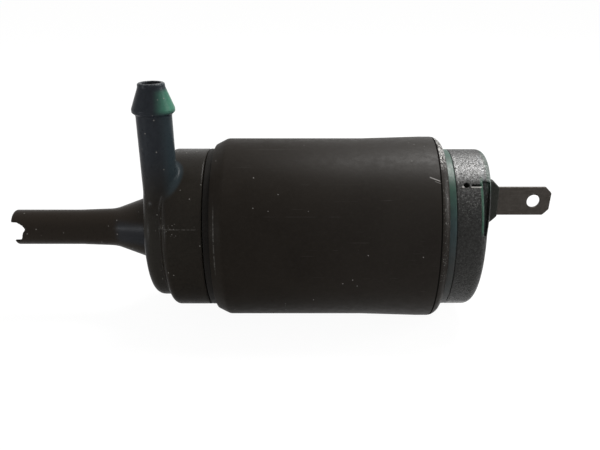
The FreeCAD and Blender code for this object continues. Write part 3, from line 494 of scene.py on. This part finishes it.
# Can, carrier and band
def lip_dents(station, radius, angle):
    """Shallow unevenness of the rolled lip, none deeper than a tenth of a millimetre."""
    near_lip = np.clip((station - 69.0) / 1.5, 0, 1) * np.clip((radius - 17.0) / 0.6, 0, 1)
    wave = 0.5 + 0.2 * np.sin(angle * 7 + 1) + 0.15 * np.sin(angle * 19 + 2) + 0.15 * np.sin(angle * 43)
    return near_lip * np.clip(wave, 0, 1) * 0.07


BAND = CAN_RADIUS + CAN_SWELL
HOLE = HEAD_RADIUS + 0.05
GROOVE = 69.6
can = lathe_piece("can", [
    (CAN_FRONT, HOLE),
    (CAN_FRONT, HOLE + 0.9, 0.3),
    (CAN_FRONT + 2.5, CAN_RADIUS, 2.0),
    (CAN_REAR - 17.1, CAN_RADIUS),
    (CAN_REAR - 4.6, BAND),
    (CAN_REAR, BAND, 2.3),
    (CAN_REAR, HOLE),
    (CAN_REAR - 1.3, HOLE),
    (CAN_REAR - 1.3, HOLE + 0.05),
    (CAN_REAR - 1.9, CAN_BORE),
    (CAN_FRONT + 2.5, CAN_BORE),
    (CAN_FRONT + 1.3, HOLE + 0.05),
    (CAN_FRONT + 1.3, HOLE),
], "motor_can", 360, lip_dents)
PLUG = SOCKET_RADIUS - 0.05
FRONT_BUSH = CARRIER_BACK - 3.8
HOLLOW = 14.5
HUB = 6.0
SHAFT_HOLE = 1.9
SEAL_POCKET = 5.0
RING_GROOVE = PLUG - 1.25
carrier = lathe_piece("carrier", [
    (SOCKET, SEAL_POCKET),
    (SOCKET, PLUG),
    (SOCKET + 1.4, PLUG),
    (SOCKET + 1.4, RING_GROOVE),
    (SOCKET + 2.8, RING_GROOVE),
    (SOCKET + 2.8, PLUG),
    (CARRIER_RING, PLUG),
    (CARRIER_RING, HEAD_RADIUS, 0.15),
    (CAN_FRONT + 1.3, HEAD_RADIUS),
    (CAN_FRONT + 2.5, CAN_BORE - 0.05),
    (CARRIER_BACK, CAN_BORE - 0.05),
    (CARRIER_BACK, HOLLOW),
    (SOCKET + 4.2, HOLLOW),
    (SOCKET + 4.2, HUB),
    (CARRIER_BACK, HUB),
    (CARRIER_BACK, BUSH_RADIUS),
    (FRONT_BUSH - 0.8, BUSH_RADIUS),
    (FRONT_BUSH - 0.8, SHAFT_HOLE),
    (SOCKET + 3.0, SHAFT_HOLE),
    (SOCKET + 3.0, SEAL_POCKET),
], "seal_carrier")
band = lathe_piece("band", [
    (CAN_REAR, BAND_FLOOR),
    (CAN_REAR, CAP_RADIUS, 0.1),
    (CAP_FACE, CAP_RADIUS, 0.2),
    (CAP_FACE, BAND_FLOOR),
], "cap_seal_ring")


# Materials
class Surface:
    """A node material read in object coordinates, scaled so that one unit is one millimetre."""

    def __init__(self, name, base, rough, metal=0.0, specular=0.5):
        self.material = bpy.data.materials.new(name)
        self.material.use_nodes = True
        self.tree = self.material.node_tree
        self.shader = self.tree.nodes["Principled BSDF"]
        self.shader.inputs["Base Color"].default_value = (*base, 1)
        self.shader.inputs["Roughness"].default_value = rough
        self.shader.inputs["Metallic"].default_value = metal
        self.shader.inputs["Specular IOR Level"].default_value = specular
        self.base = base
        coordinates = self.node("ShaderNodeTexCoord")
        scale = self.node("ShaderNodeMapping")
        for axis in range(3):
            scale.inputs["Scale"].default_value[axis] = 1 / MM
        self.link(coordinates.outputs["Object"], scale.inputs["Vector"])
        self.place = scale.outputs["Vector"]
        split = self.node("ShaderNodeSeparateXYZ")
        self.link(self.place, split.inputs[0])
        self.x, self.y, self.z = split.outputs

    def node(self, kind, **settings):
        made = self.tree.nodes.new(kind)
        for key, value in settings.items():
            setattr(made, key, value)
        return made

    def link(self, source, target):
        self.tree.links.new(source, target)

    def math(self, operation, first, second=None, clamp=False):
        made = self.node("ShaderNodeMath", operation=operation, use_clamp=clamp)
        for slot, value in enumerate((first, second)):
            if value is None:
                continue
            if isinstance(value, (int, float)):
                made.inputs[slot].default_value = value
            else:
                self.link(value, made.inputs[slot])
        return made.outputs[0]

    def noise(self, scale, detail=3.0, rough=0.5, stretch=None, shift=0.0):
        made = self.node("ShaderNodeTexNoise")
        made.inputs["Scale"].default_value = scale
        made.inputs["Detail"].default_value = detail
        made.inputs["Roughness"].default_value = rough
        place = self.place
        if stretch or shift:
            mapping = self.node("ShaderNodeMapping")
            for axis in range(3):
                mapping.inputs["Scale"].default_value[axis] = stretch[axis] if stretch else 1
                mapping.inputs["Location"].default_value[axis] = shift
            self.link(self.place, mapping.inputs["Vector"])
            place = mapping.outputs["Vector"]
        self.link(place, made.inputs["Vector"])
        return made.outputs["Fac"]

    def ramp(self, value, low, high, bottom=0.0, top=1.0):
        """The value stretched smoothly from low..high to bottom..top."""
        made = self.node("ShaderNodeMapRange", interpolation_type="SMOOTHSTEP")
        for slot, number in (("From Min", low), ("From Max", high), ("To Min", bottom), ("To Max", top)):
            made.inputs[slot].default_value = number
        self.link(value, made.inputs["Value"])
        return made.outputs["Result"]

    def fall(self, value, low, high):
        """One below low, fading to nothing at high."""
        return self.ramp(value, low, high, 1.0, 0.0)

    def within(self, value, low, high, edge):
        """One between low and high, fading over the edge."""
        begun = self.ramp(value, low - edge, low)
        return self.math("MULTIPLY", begun, self.fall(value, high, high + edge))

    def mix(self, share, first, second):
        made = self.node("ShaderNodeMix", data_type="RGBA")
        self.link(share, made.inputs["Factor"])
        for slot, value in (("A", first), ("B", second)):
            target = [i for i in made.inputs if i.name == slot and i.type == "RGBA"][0]
            if isinstance(value, tuple):
                target.default_value = (*value, 1)
            else:
                self.link(value, target)
        return [o for o in made.outputs if o.type == "RGBA"][0]

    def stain(self, colour, share, strength, tint):
        """The colour with a tint over it where the share is."""
        return self.mix(self.math("MULTIPLY", share, strength), colour, tint)

    def colour(self, output):
        self.link(output, self.shader.inputs["Base Color"])

    def roughness(self, output):
        self.link(output, self.shader.inputs["Roughness"])

    def gleam(self, output):
        self.link(output, self.shader.inputs["Specular IOR Level"])

    def across(self, angle):
        """Distance across a mark that faces an angle above the near side."""
        return self.math("ADD", self.math("MULTIPLY", self.z, math.cos(angle)),
                         self.math("MULTIPLY", self.y, math.sin(angle)))

    def all_of(self, *shares):
        product = shares[0]
        for share in shares[1:]:
            product = self.math("MULTIPLY", product, share)
        return product

    def bump(self, *layers):
        """Layers of (height, strength, depth in millimetres)."""
        normal = None
        for height, strength, depth in layers:
            made = self.node("ShaderNodeBump")
            made.inputs["Strength"].default_value = strength
            made.inputs["Distance"].default_value = depth * MM
            self.link(height, made.inputs["Height"])
            if normal is not None:
                self.link(normal, made.inputs["Normal"])
            normal = made.outputs["Normal"]
        self.link(normal, self.shader.inputs["Normal"])

    def mottled(self, shade, tint, amount=0.5):
        """Colour that drifts between the base, a shade and a tint."""
        broad = self.ramp(self.noise(0.12, 4), 0.35, 0.7)
        fine = self.ramp(self.noise(1.4, 5, 0.6, shift=7.0), 0.4, 0.75)
        return self.mix(self.math("MULTIPLY", fine, amount), self.mix(broad, self.base, shade), tint)

    def specks(self, scale, size, share, shift=0.0):
        """Scattered small dots, one where a dot lies."""
        cells = self.node("ShaderNodeTexVoronoi", feature="F1")
        cells.inputs["Scale"].default_value = scale
        mapping = self.node("ShaderNodeMapping")
        for axis in range(3):
            mapping.inputs["Location"].default_value[axis] = shift
        self.link(self.place, mapping.inputs["Vector"])
        self.link(mapping.outputs["Vector"], cells.inputs["Vector"])
        dot = self.ramp(cells.outputs["Distance"], size * 0.5, size, 1.0, 0.0)
        split = self.node("ShaderNodeSeparateColor")
        self.link(cells.outputs["Color"], split.inputs[0])
        chosen = self.math("LESS_THAN", split.outputs[0], share)
        return self.math("MULTIPLY", dot, chosen)


def dress(pieces, material):
    for piece in pieces:
        piece.data.materials.clear()
        piece.data.materials.append(material)


def head_material():
    s = Surface("head plastic", (0.0135, 0.0115, 0.0092), 0.42)
    colour = s.mottled((0.0112, 0.0095, 0.0076), (0.0185, 0.0160, 0.0130), 0.5)
    colour = s.mix(s.fall(s.x, 2.0, 11.0), colour, (0.0168, 0.0134, 0.0106))
    nose = s.all_of(s.within(s.x, 9.4, 12.4, 0.5), s.fall(s.z, 6.0, 10.0))
    colour = s.stain(colour, nose, 0.7, (0.0215, 0.0200, 0.0175))
    # Painted highlight: a bluish band along the middle of the cone
    cone_highlight = s.all_of(s.within(s.x, 2.0, 8.5, 2.0), s.within(s.z, -1.0, 1.5, 2.0))
    colour = s.stain(colour, cone_highlight, 0.6, (0.020, 0.0235, 0.0295))

    # Nozzle: bluish, with a painted reflection down its right side, a green painted reflection on the
    # barb's right, and a pale painted highlight broken up along the rim
    aside = s.math("SUBTRACT", s.x, NOZZLE_X)
    toward = s.math("SUBTRACT", s.y, NOZZLE_Y)
    squares = s.math("ADD", s.math("MULTIPLY", aside, aside), s.math("MULTIPLY", toward, toward))
    on_nozzle = s.fall(s.math("SQRT", squares), 4.35, 5.2)
    nozzle = s.math("MULTIPLY", s.ramp(s.z, 8.0, 21.0), on_nozzle)
    drift = s.ramp(s.noise(0.8, 4, 0.6, shift=4.0), 0.35, 0.7)
    colour = s.mix(nozzle, colour, s.mix(drift, (0.0150, 0.0172, 0.0210), (0.0185, 0.0212, 0.0252)))
    # Painted reflection: a lighter bluish-green tint down the nozzle's right side
    right_side_reflection = s.all_of(s.ramp(aside, 0.8, 3.2), s.ramp(s.z, 7.0, 14.0), on_nozzle)
    colour = s.stain(colour, right_side_reflection, 0.7, (0.020, 0.030, 0.035))
    # Painted reflection: green on the right of the barb
    barb_reflection = s.all_of(s.ramp(aside, 0.4, 4.2), s.fall(toward, 0.5, 2.5), s.ramp(s.z, 26.9, 28.0),
                    s.fall(s.z, 31.0, 32.0))
    colour = s.mix(barb_reflection, colour, (0.042, 0.135, 0.092))
    # Painted highlight: a pale line along the rim's top edge, broken up by noise
    rim = s.all_of(s.ramp(s.z, 32.45, 32.65), s.ramp(s.noise(3.2, 4, 0.7, shift=9.0), 0.44, 0.60))
    colour = s.stain(colour, rim, 0.6, (0.135, 0.145, 0.150))

    # Dust, crumbs by the nozzle's foot and the faint mould line
    near_foot = s.all_of(s.within(s.x, 12.9, 15.5, 2.0), s.within(s.z, 4.2, 5.9, 0.8))
    crumbs = s.math("MULTIPLY", s.specks(2.6, 0.30, 0.55, 3.0), near_foot)
    dust = s.math("MAXIMUM", s.specks(1.0, 0.17, 0.13), crumbs)
    mould = s.all_of(s.within(s.z, 5.10, 5.22, 0.06), s.within(s.x, 12.9, 20.6, 0.4))
    broken = s.ramp(s.noise(1.3, 4, 0.7, shift=6.0), 0.38, 0.62)
    line = s.all_of(mould, broken, 0.22)
    marks = s.math("MAXIMUM", s.math("MULTIPLY", dust, 0.6), line, clamp=True)
    s.colour(s.mix(marks, colour, (0.24, 0.23, 0.215)))
    s.gleam(s.ramp(s.z, -14.0, 9.0, 0.006, 0.050))
    s.roughness(s.ramp(s.noise(0.9, 5, 0.6), 0.3, 0.75, 0.26, 0.36))
    s.bump((s.noise(2.2, 6, 0.55), 0.35, 0.05), (s.noise(9.0, 3), 0.3, 0.02), (mould, 0.6, 0.06),
           (dust, 0.7, 0.03))
    return s.material


def can_material():
    s = Surface("can paint", (0.0130, 0.0108, 0.0088), 0.48)
    colour = s.mottled((0.0112, 0.0092, 0.0074), (0.0165, 0.0142, 0.0118), 0.45)

    # Paint worn off the lip, mostly on top, and a thin band of bare metal along the front shoulder that is
    # a painted highlight
    lip = s.ramp(s.x, GROOVE + 0.1, GROOVE + 0.3)
    wear = s.all_of(s.ramp(s.noise(1.9, 6, 0.75), 0.46, 0.53), lip, s.ramp(s.z, 15.2, 18.4))
    flecks = s.ramp(s.noise(2.2, 4, 0.7, shift=11.0), 0.58, 0.62)
    flecks = s.all_of(flecks, lip, s.within(s.z, -4.0, 14.0, 3.0), 0.22)
    edge = s.all_of(s.ramp(s.x, CAN_REAR - 1.1, CAN_REAR - 0.5),
                    s.ramp(s.noise(1.6, 4, shift=3.0), 0.42, 0.6),
                    s.ramp(s.z, -16.0, -8.0, 0.5, 0.0))
    # Painted highlight: a thin broken line of bare metal on the front shoulder, at middle height
    front_highlight = s.all_of(s.within(s.x, CAN_FRONT + 0.92, CAN_FRONT + 1.04, 0.1),
                          s.within(s.z, -2.5, 8.5, 2.0),
                          s.ramp(s.noise(1.2, 4, shift=13.0), 0.30, 0.48), 0.10)
    edges = s.math("MAXIMUM", edge, front_highlight)
    # Bare metal from wear on the lip, together with the painted highlight on the front shoulder
    wear_and_highlight = s.math("MAXIMUM", s.math("MAXIMUM", wear, flecks), edges, clamp=True)

    # Scratches and dust
    slanted = s.math("ADD", s.math("MULTIPLY", s.x, 0.3), s.z)
    streaks = s.noise(0.5, 2, 0.5, stretch=(0.06, 9.0, 9.0), shift=5.0)
    patches = s.ramp(s.noise(0.22, 2, shift=21.0), 0.5, 0.6)
    scratches = s.all_of(s.ramp(streaks, 0.69, 0.71), patches, 0.05)
    for low, high, fade, start, end, strength in ((35.15, 35.25, 0.06, 67.4, 69.2, 0.7),
                                                  (34.82, 34.88, 0.05, 68.4, 69.4, 0.3)):
        mark = s.all_of(s.within(slanted, low, high, fade), s.within(s.x, start, end, 0.2), strength)
        scratches = s.math("MAXIMUM", scratches, mark)
    marks = s.math("MAXIMUM", scratches, s.math("MULTIPLY", s.specks(1.0, 0.15, 0.05), 0.6), clamp=True)
    colour = s.mix(marks, colour, (0.30, 0.29, 0.28))
    # Painted shade: a dark line where the lip begins, with less gleam there
    crease_shade = s.within(s.x, GROOVE - 0.16, GROOVE + 0.10, 0.06)
    colour = s.stain(colour, crease_shade, 0.75, (0.003, 0.003, 0.003))
    polish = s.ramp(s.noise(1.8, 5, 0.7, shift=2.0), 0.35, 0.65)
    s.colour(s.mix(wear_and_highlight, colour, s.mix(polish, (0.10, 0.098, 0.094), (0.58, 0.57, 0.55))))
    level = s.all_of(s.ramp(s.x, 24.0, 68.0, 0.028, 0.092), s.ramp(s.z, -2.0, 9.0, 0.6, 1.0))
    s.gleam(s.math("MULTIPLY", level, s.math("SUBTRACT", 1.0, crease_shade)))
    s.link(wear_and_highlight, s.shader.inputs["Metallic"])
    s.roughness(s.ramp(s.noise(0.7, 4, 0.6), 0.3, 0.7, 0.42, 0.51))
    s.bump((s.noise(1.1, 5, 0.5), 0.25, 0.05), (s.noise(7.0, 3), 0.25, 0.015), (wear_and_highlight, 0.5, -0.03),
           (marks, 0.4, 0.02))
    return s.material


def cap_material():
    s = Surface("cap plastic", (0.020, 0.020, 0.019), 0.36)
    grains = s.noise(2.3, 5, 0.8)
    shine = s.all_of(s.ramp(s.y, -11.5, -7.5, 0.10, 0.95), s.ramp(s.y, -5.0, 0.5, 1.0, 0.12),
                     s.ramp(s.x, CAP_END + 0.8, CAP_END + 1.4, 1.0, 0.12))
    s.gleam(s.math("MULTIPLY", s.ramp(grains, 0.40, 0.60, 0.35, 1.9), shine))
    colour = s.mottled((0.016, 0.016, 0.0155), (0.027, 0.027, 0.026), 0.7)
    glint = s.ramp(s.noise(2.6, 4, 0.8, shift=5.0), 0.54, 0.62)
    glint = s.all_of(glint, s.ramp(s.z, 4.0, 13.0, 0.10, 0.6))
    colour = s.mix(glint, colour, (0.16, 0.16, 0.155))

    # Recess, collar, and the green gleams along the recess and the rear edge
    near_side = s.fall(s.y, -4.0, -2.0)
    hollow = s.all_of(s.within(s.x, RECESS_START, CAP_END - 0.4, 0.05), s.ramp(s.z, 3.0, 6.0), near_side)
    colour = s.stain(colour, hollow, 0.8, (0.032, 0.038, 0.041))
    collar = s.ramp(s.x, CAP_END + 1.6, CAP_END + 2.2)
    colour = s.stain(colour, collar, 0.8, (0.036, 0.038, 0.033))
    stripe = s.within(s.x, RECESS_START - 0.45, RECESS_START + 0.15, 0.12)
    stripe = s.all_of(stripe, s.within(s.z, 5.0, 13.0, 1.5), near_side)
    colour = s.stain(colour, stripe, 0.8, (0.032, 0.088, 0.058))
    rear = s.ramp(s.x, CAP_END - 0.2, CAP_END + 0.3)
    rear = s.all_of(rear, s.ramp(s.z, 10.5, 12.5), s.fall(s.y, 0.0, 2.5))
    colour = s.stain(colour, rear, 0.85, (0.008, 0.030, 0.018))

    # Painted highlights on the lower edges of the pin-hole and the slit
    across = s.across(VENT_ANGLE)
    slit_edge = s.all_of(s.within(across, -0.56, -0.30, 0.1), s.within(s.x, SLIT_START, SLIT_END, 0.15))
    spot = s.within(s.x, VENT_STATION - 0.85, VENT_STATION - 0.5, 0.12)
    spot = s.math("MULTIPLY", s.within(across, -0.60, -0.25, 0.12), spot)
    vent_highlights = s.all_of(s.math("MAXIMUM", slit_edge, spot), s.ramp(s.z, 8.0, 9.0), 0.65)
    s.colour(s.mix(vent_highlights, colour, (0.42, 0.41, 0.39)))
    s.roughness(s.ramp(grains, 0.35, 0.7, 0.40, 0.28))
    s.bump((grains, 0.9, 0.16), (s.noise(8.0, 3, 0.6), 0.5, 0.04))
    return s.material


def band_material():
    s = Surface("band with painted reflection", (0.026, 0.040, 0.038), 0.38)
    s.gleam(s.ramp(s.z, 12.0, 15.0, 0.10, 0.28))
    # Painted reflection: green on the upper side and bluish in the middle, fading to plain grey towards the
    # bottom
    colour = s.mix(s.ramp(s.z, 4.0, 14.0), (0.038, 0.058, 0.062), (0.026, 0.062, 0.045))
    colour = s.mix(s.fall(s.z, -4.0, 6.0), colour, (0.037, 0.038, 0.037))
    colour = s.stain(colour, s.ramp(s.noise(0.8, 4), 0.4, 0.7), 0.4, (0.022, 0.032, 0.031))
    s.colour(colour)
    s.roughness(s.ramp(s.noise(1.5, 4), 0.3, 0.7, 0.36, 0.48))
    s.bump((s.noise(3.0, 4), 0.3, 0.03))
    return s.material


def blade_material():
    s = Surface("tarnished terminal", (0.050, 0.045, 0.041), 0.42, metal=0.75, specular=0.1)
    tarnish = s.ramp(s.noise(0.5, 5, 0.6), 0.35, 0.7)
    colour = s.mix(tarnish, (0.053, 0.047, 0.042), (0.043, 0.038, 0.033))
    grain = s.noise(1.0, 4, 0.6, stretch=(0.35, 1, 5.0))
    s.colour(s.stain(colour, s.ramp(grain, 0.5, 0.75), 0.5, (0.075, 0.067, 0.060)))
    s.roughness(s.ramp(s.noise(2.0, 5, 0.65), 0.3, 0.7, 0.38, 0.55))
    s.bump((grain, 0.35, 0.02), (s.noise(5.0, 4, 0.6), 0.3, 0.02))
    return s.material


def plain_material(name, base, rough, metal=0.0, grain=3.0, depth=0.03, stretch=None, gleam=0.5):
    """A softly uneven material, for the carrier and the pieces inside."""
    s = Surface(name, base, rough, metal, gleam)
    dark = tuple(c * 0.72 for c in base)
    light = tuple(min(1, c * 1.25) for c in base)
    s.colour(s.mottled(dark, light, 0.5))
    s.roughness(s.ramp(s.noise(1.7, 4), 0.3, 0.7, max(0.05, rough - 0.06), rough + 0.08))
    s.bump((s.noise(grain, 4, 0.6, stretch=stretch), 0.4, depth))
    return s.material


dress([head], head_material())
dress([can], can_material())
dress([cap], cap_material())
dress([band], band_material())
dress([blade], blade_material())
carrier_plastic = plain_material("carrier plastic", (0.0115, 0.0105, 0.0095), 0.5, grain=4.0, gleam=0.03)
dress([carrier], carrier_plastic)

# Each slot's nodes, colour, roughness, metal, grain, depth of grain and stretch of grain
INSIDE = {
    "seal_rubber": (("head_oring", "shaft_seal"), (0.012, 0.012, 0.012), 0.55, 0.0, 3.0, 0.03, None),
    "spring_steel": (("seal_spring", "magnet_clip_near", "magnet_clip_far", "brush_spring_upper",
                      "brush_spring_lower", "ground_strip", "front_retainer", "rear_retainer"),
                     (0.45, 0.45, 0.46), 0.32, 1.0, 2.0, 0.015, (0.3, 4, 4)),
    "impeller_plastic": (("impeller",), (0.62, 0.61, 0.56), 0.42, 0.0, 2.5, 0.03, None),
    "shaft_steel": (("shaft",), (0.50, 0.50, 0.51), 0.24, 1.0, 2.0, 0.01, (6, 0.5, 0.5)),
    "magnet_ferrite": (("magnet_upper", "magnet_lower"), (0.045, 0.044, 0.043), 0.62, 0.0, 3.0, 0.05, None),
    "core_steel": (("armature_core",), (0.30, 0.30, 0.31), 0.42, 1.0, 3.0, 0.05, (8, 0.2, 0.2)),
    "copper_wire": (("windings",), (0.42, 0.15, 0.06), 0.35, 0.8, 2.0, 0.12, (0.4, 3, 3)),
    "copper_bar": (("commutator_bars",), (0.60, 0.27, 0.15), 0.30, 1.0, 2.0, 0.02, (5, 1, 1)),
    "hub_plastic": (("commutator_hub",), (0.09, 0.06, 0.045), 0.5, 0.0, 3.0, 0.03, None),
    "card_board": (("brush_card",), (0.28, 0.155, 0.075), 0.55, 0.0, 3.0, 0.04, (0.5, 2, 2)),
    "brush_carbon": (("brush_upper", "brush_lower"), (0.022, 0.022, 0.024), 0.5, 0.0, 5.0, 0.03, None),
    "bearing_bronze": (("front_bearing", "rear_bearing"), (0.42, 0.25, 0.12), 0.38, 1.0, 6.0, 0.03, None),
    "oil_felt": (("front_felt", "rear_felt"), (0.40, 0.37, 0.30), 0.9, 0.0, 7.0, 0.12, None),
    "washer_plastic": (("front_thrust_washer", "spacer_sleeve", "rear_thrust_washer"),
                       (0.52, 0.50, 0.45), 0.45, 0.0, 3.0, 0.02, None),
}
for slot, (nodes, base, rough, metal, grain, depth, stretch) in INSIDE.items():
    made = plain_material(slot.replace("_", " "), base, rough, metal, grain, depth, stretch)
    dress([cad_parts[node] for node in nodes], made)

# Camera: above the near side, close enough for the tubes to lean in the picture
ELEVATION = math.radians(19.5)
DISTANCE = 0.165
FOCAL_PIXELS = 731
AXIS_ROW = 226.8
SHIFT_ROW = 300
SHIFT_COLUMN = 315.3
WIDTH = 600
HEIGHT = 450
AIM_STATION = 0.0444
pitch = ELEVATION + math.atan((SHIFT_ROW - AXIS_ROW) / FOCAL_PIXELS)
camera = bpy.data.objects.new("camera", bpy.data.cameras.new("camera"))
bpy.context.scene.collection.objects.link(camera)
camera.location = (AIM_STATION, -DISTANCE * math.cos(ELEVATION), DISTANCE * math.sin(ELEVATION))
camera.rotation_mode = "QUATERNION"
camera.rotation_quaternion = Vector((0, math.cos(pitch), -math.sin(pitch))).to_track_quat("-Z", "Y")
camera.data.lens = 36 * FOCAL_PIXELS / WIDTH
camera.data.shift_x = (WIDTH / 2 - SHIFT_COLUMN) / WIDTH
camera.data.shift_y = (SHIFT_ROW - HEIGHT / 2) / WIDTH
camera.data.clip_start = 0.01
camera.data.clip_end = 20
bpy.context.scene.camera = camera


# Studio
def lamp(name, place, aim, power, width, height, colour):
    light = bpy.data.lights.new(name, "AREA")
    light.shape = "RECTANGLE"
    light.size = width
    light.size_y = height
    light.energy = power
    light.color = colour
    holder = bpy.data.objects.new(name, light)
    bpy.context.scene.collection.objects.link(holder)
    holder.location = place
    holder.rotation_mode = "QUATERNION"
    holder.rotation_quaternion = (Vector(aim) - Vector(place)).to_track_quat("-Z", "Y")


MIDDLE = (0.045, 0, 0)
lamp("overhead", (0.17, 0.13, 0.42), MIDDLE, 2.4, 0.20, 0.18, (1.0, 0.99, 0.975))
lamp("right", (0.47, 0.05, 0.14), MIDDLE, 1.0, 0.14, 0.18, (1.0, 1.0, 1.0))
lamp("left", (-0.37, -0.235, 0.03), (0, 0, 0), 0.5, 0.08, 0.06, (0.94, 0.97, 1.0))

def seen_directly(tree):
    """One for rays from the camera, and for those that mirror or pass light."""
    path = tree.nodes.new("ShaderNodeLightPath")
    total = path.outputs["Is Camera Ray"]
    for ray in ("Is Glossy Ray", "Is Transmission Ray"):
        either = tree.nodes.new("ShaderNodeMath")
        either.operation = "MAXIMUM"
        tree.links.new(total, either.inputs[0])
        tree.links.new(path.outputs[ray], either.inputs[1])
        total = either.outputs[0]
    return total


def choose(tree, first, second, target):
    pick = tree.nodes.new("ShaderNodeMixShader")
    tree.links.new(seen_directly(tree), pick.inputs[0])
    tree.links.new(first, pick.inputs[1])
    tree.links.new(second, pick.inputs[2])
    tree.links.new(pick.outputs[0], target)


world = bpy.data.worlds.new("studio")
bpy.context.scene.world = world
world.use_nodes = True
tree = world.node_tree
background = tree.nodes["Background"]
background.inputs["Color"].default_value = (1.0, 0.985, 0.97, 1)
background.inputs["Strength"].default_value = 0.5
white = tree.nodes.new("ShaderNodeBackground")
white.inputs["Color"].default_value = (1, 1, 1, 1)
white.inputs["Strength"].default_value = 1.0
choose(tree, background.outputs[0], white.outputs[0], tree.nodes["World Output"].inputs["Surface"])

FLOOR = -0.01985
REACH = 3
corners = [(-REACH, -REACH, FLOOR), (REACH, -REACH, FLOOR), (REACH, REACH, FLOOR), (-REACH, REACH, FLOOR)]
floor_mesh = bpy.data.meshes.new("floor")
floor_mesh.from_pydata(corners, [], [(0, 1, 2, 3)])
floor = bpy.data.objects.new("floor", floor_mesh)
bpy.context.scene.collection.objects.link(floor)
paper = bpy.data.materials.new("white paper")
paper.use_nodes = True
tree = paper.node_tree
lit = tree.nodes["Principled BSDF"]
lit.inputs["Base Color"].default_value = (0.8, 0.8, 0.8, 1)
lit.inputs["Roughness"].default_value = 1.0
lit.inputs["Specular IOR Level"].default_value = 0.0
shadowed = tree.nodes.new("ShaderNodeBsdfDiffuse")
shadowed.inputs["Color"].default_value = (0.08, 0.08, 0.08, 1)
glow = tree.nodes.new("ShaderNodeEmission")
glow.inputs["Color"].default_value = (1, 1, 1, 1)
glow.inputs["Strength"].default_value = 0.95
both = tree.nodes.new("ShaderNodeAddShader")
tree.links.new(shadowed.outputs[0], both.inputs[0])
tree.links.new(glow.outputs[0], both.inputs[1])
choose(tree, lit.outputs[0], both.outputs[0], tree.nodes["Material Output"].inputs["Surface"])
floor_mesh.materials.append(paper)

bpy.context.scene.view_settings.view_transform = "Standard"

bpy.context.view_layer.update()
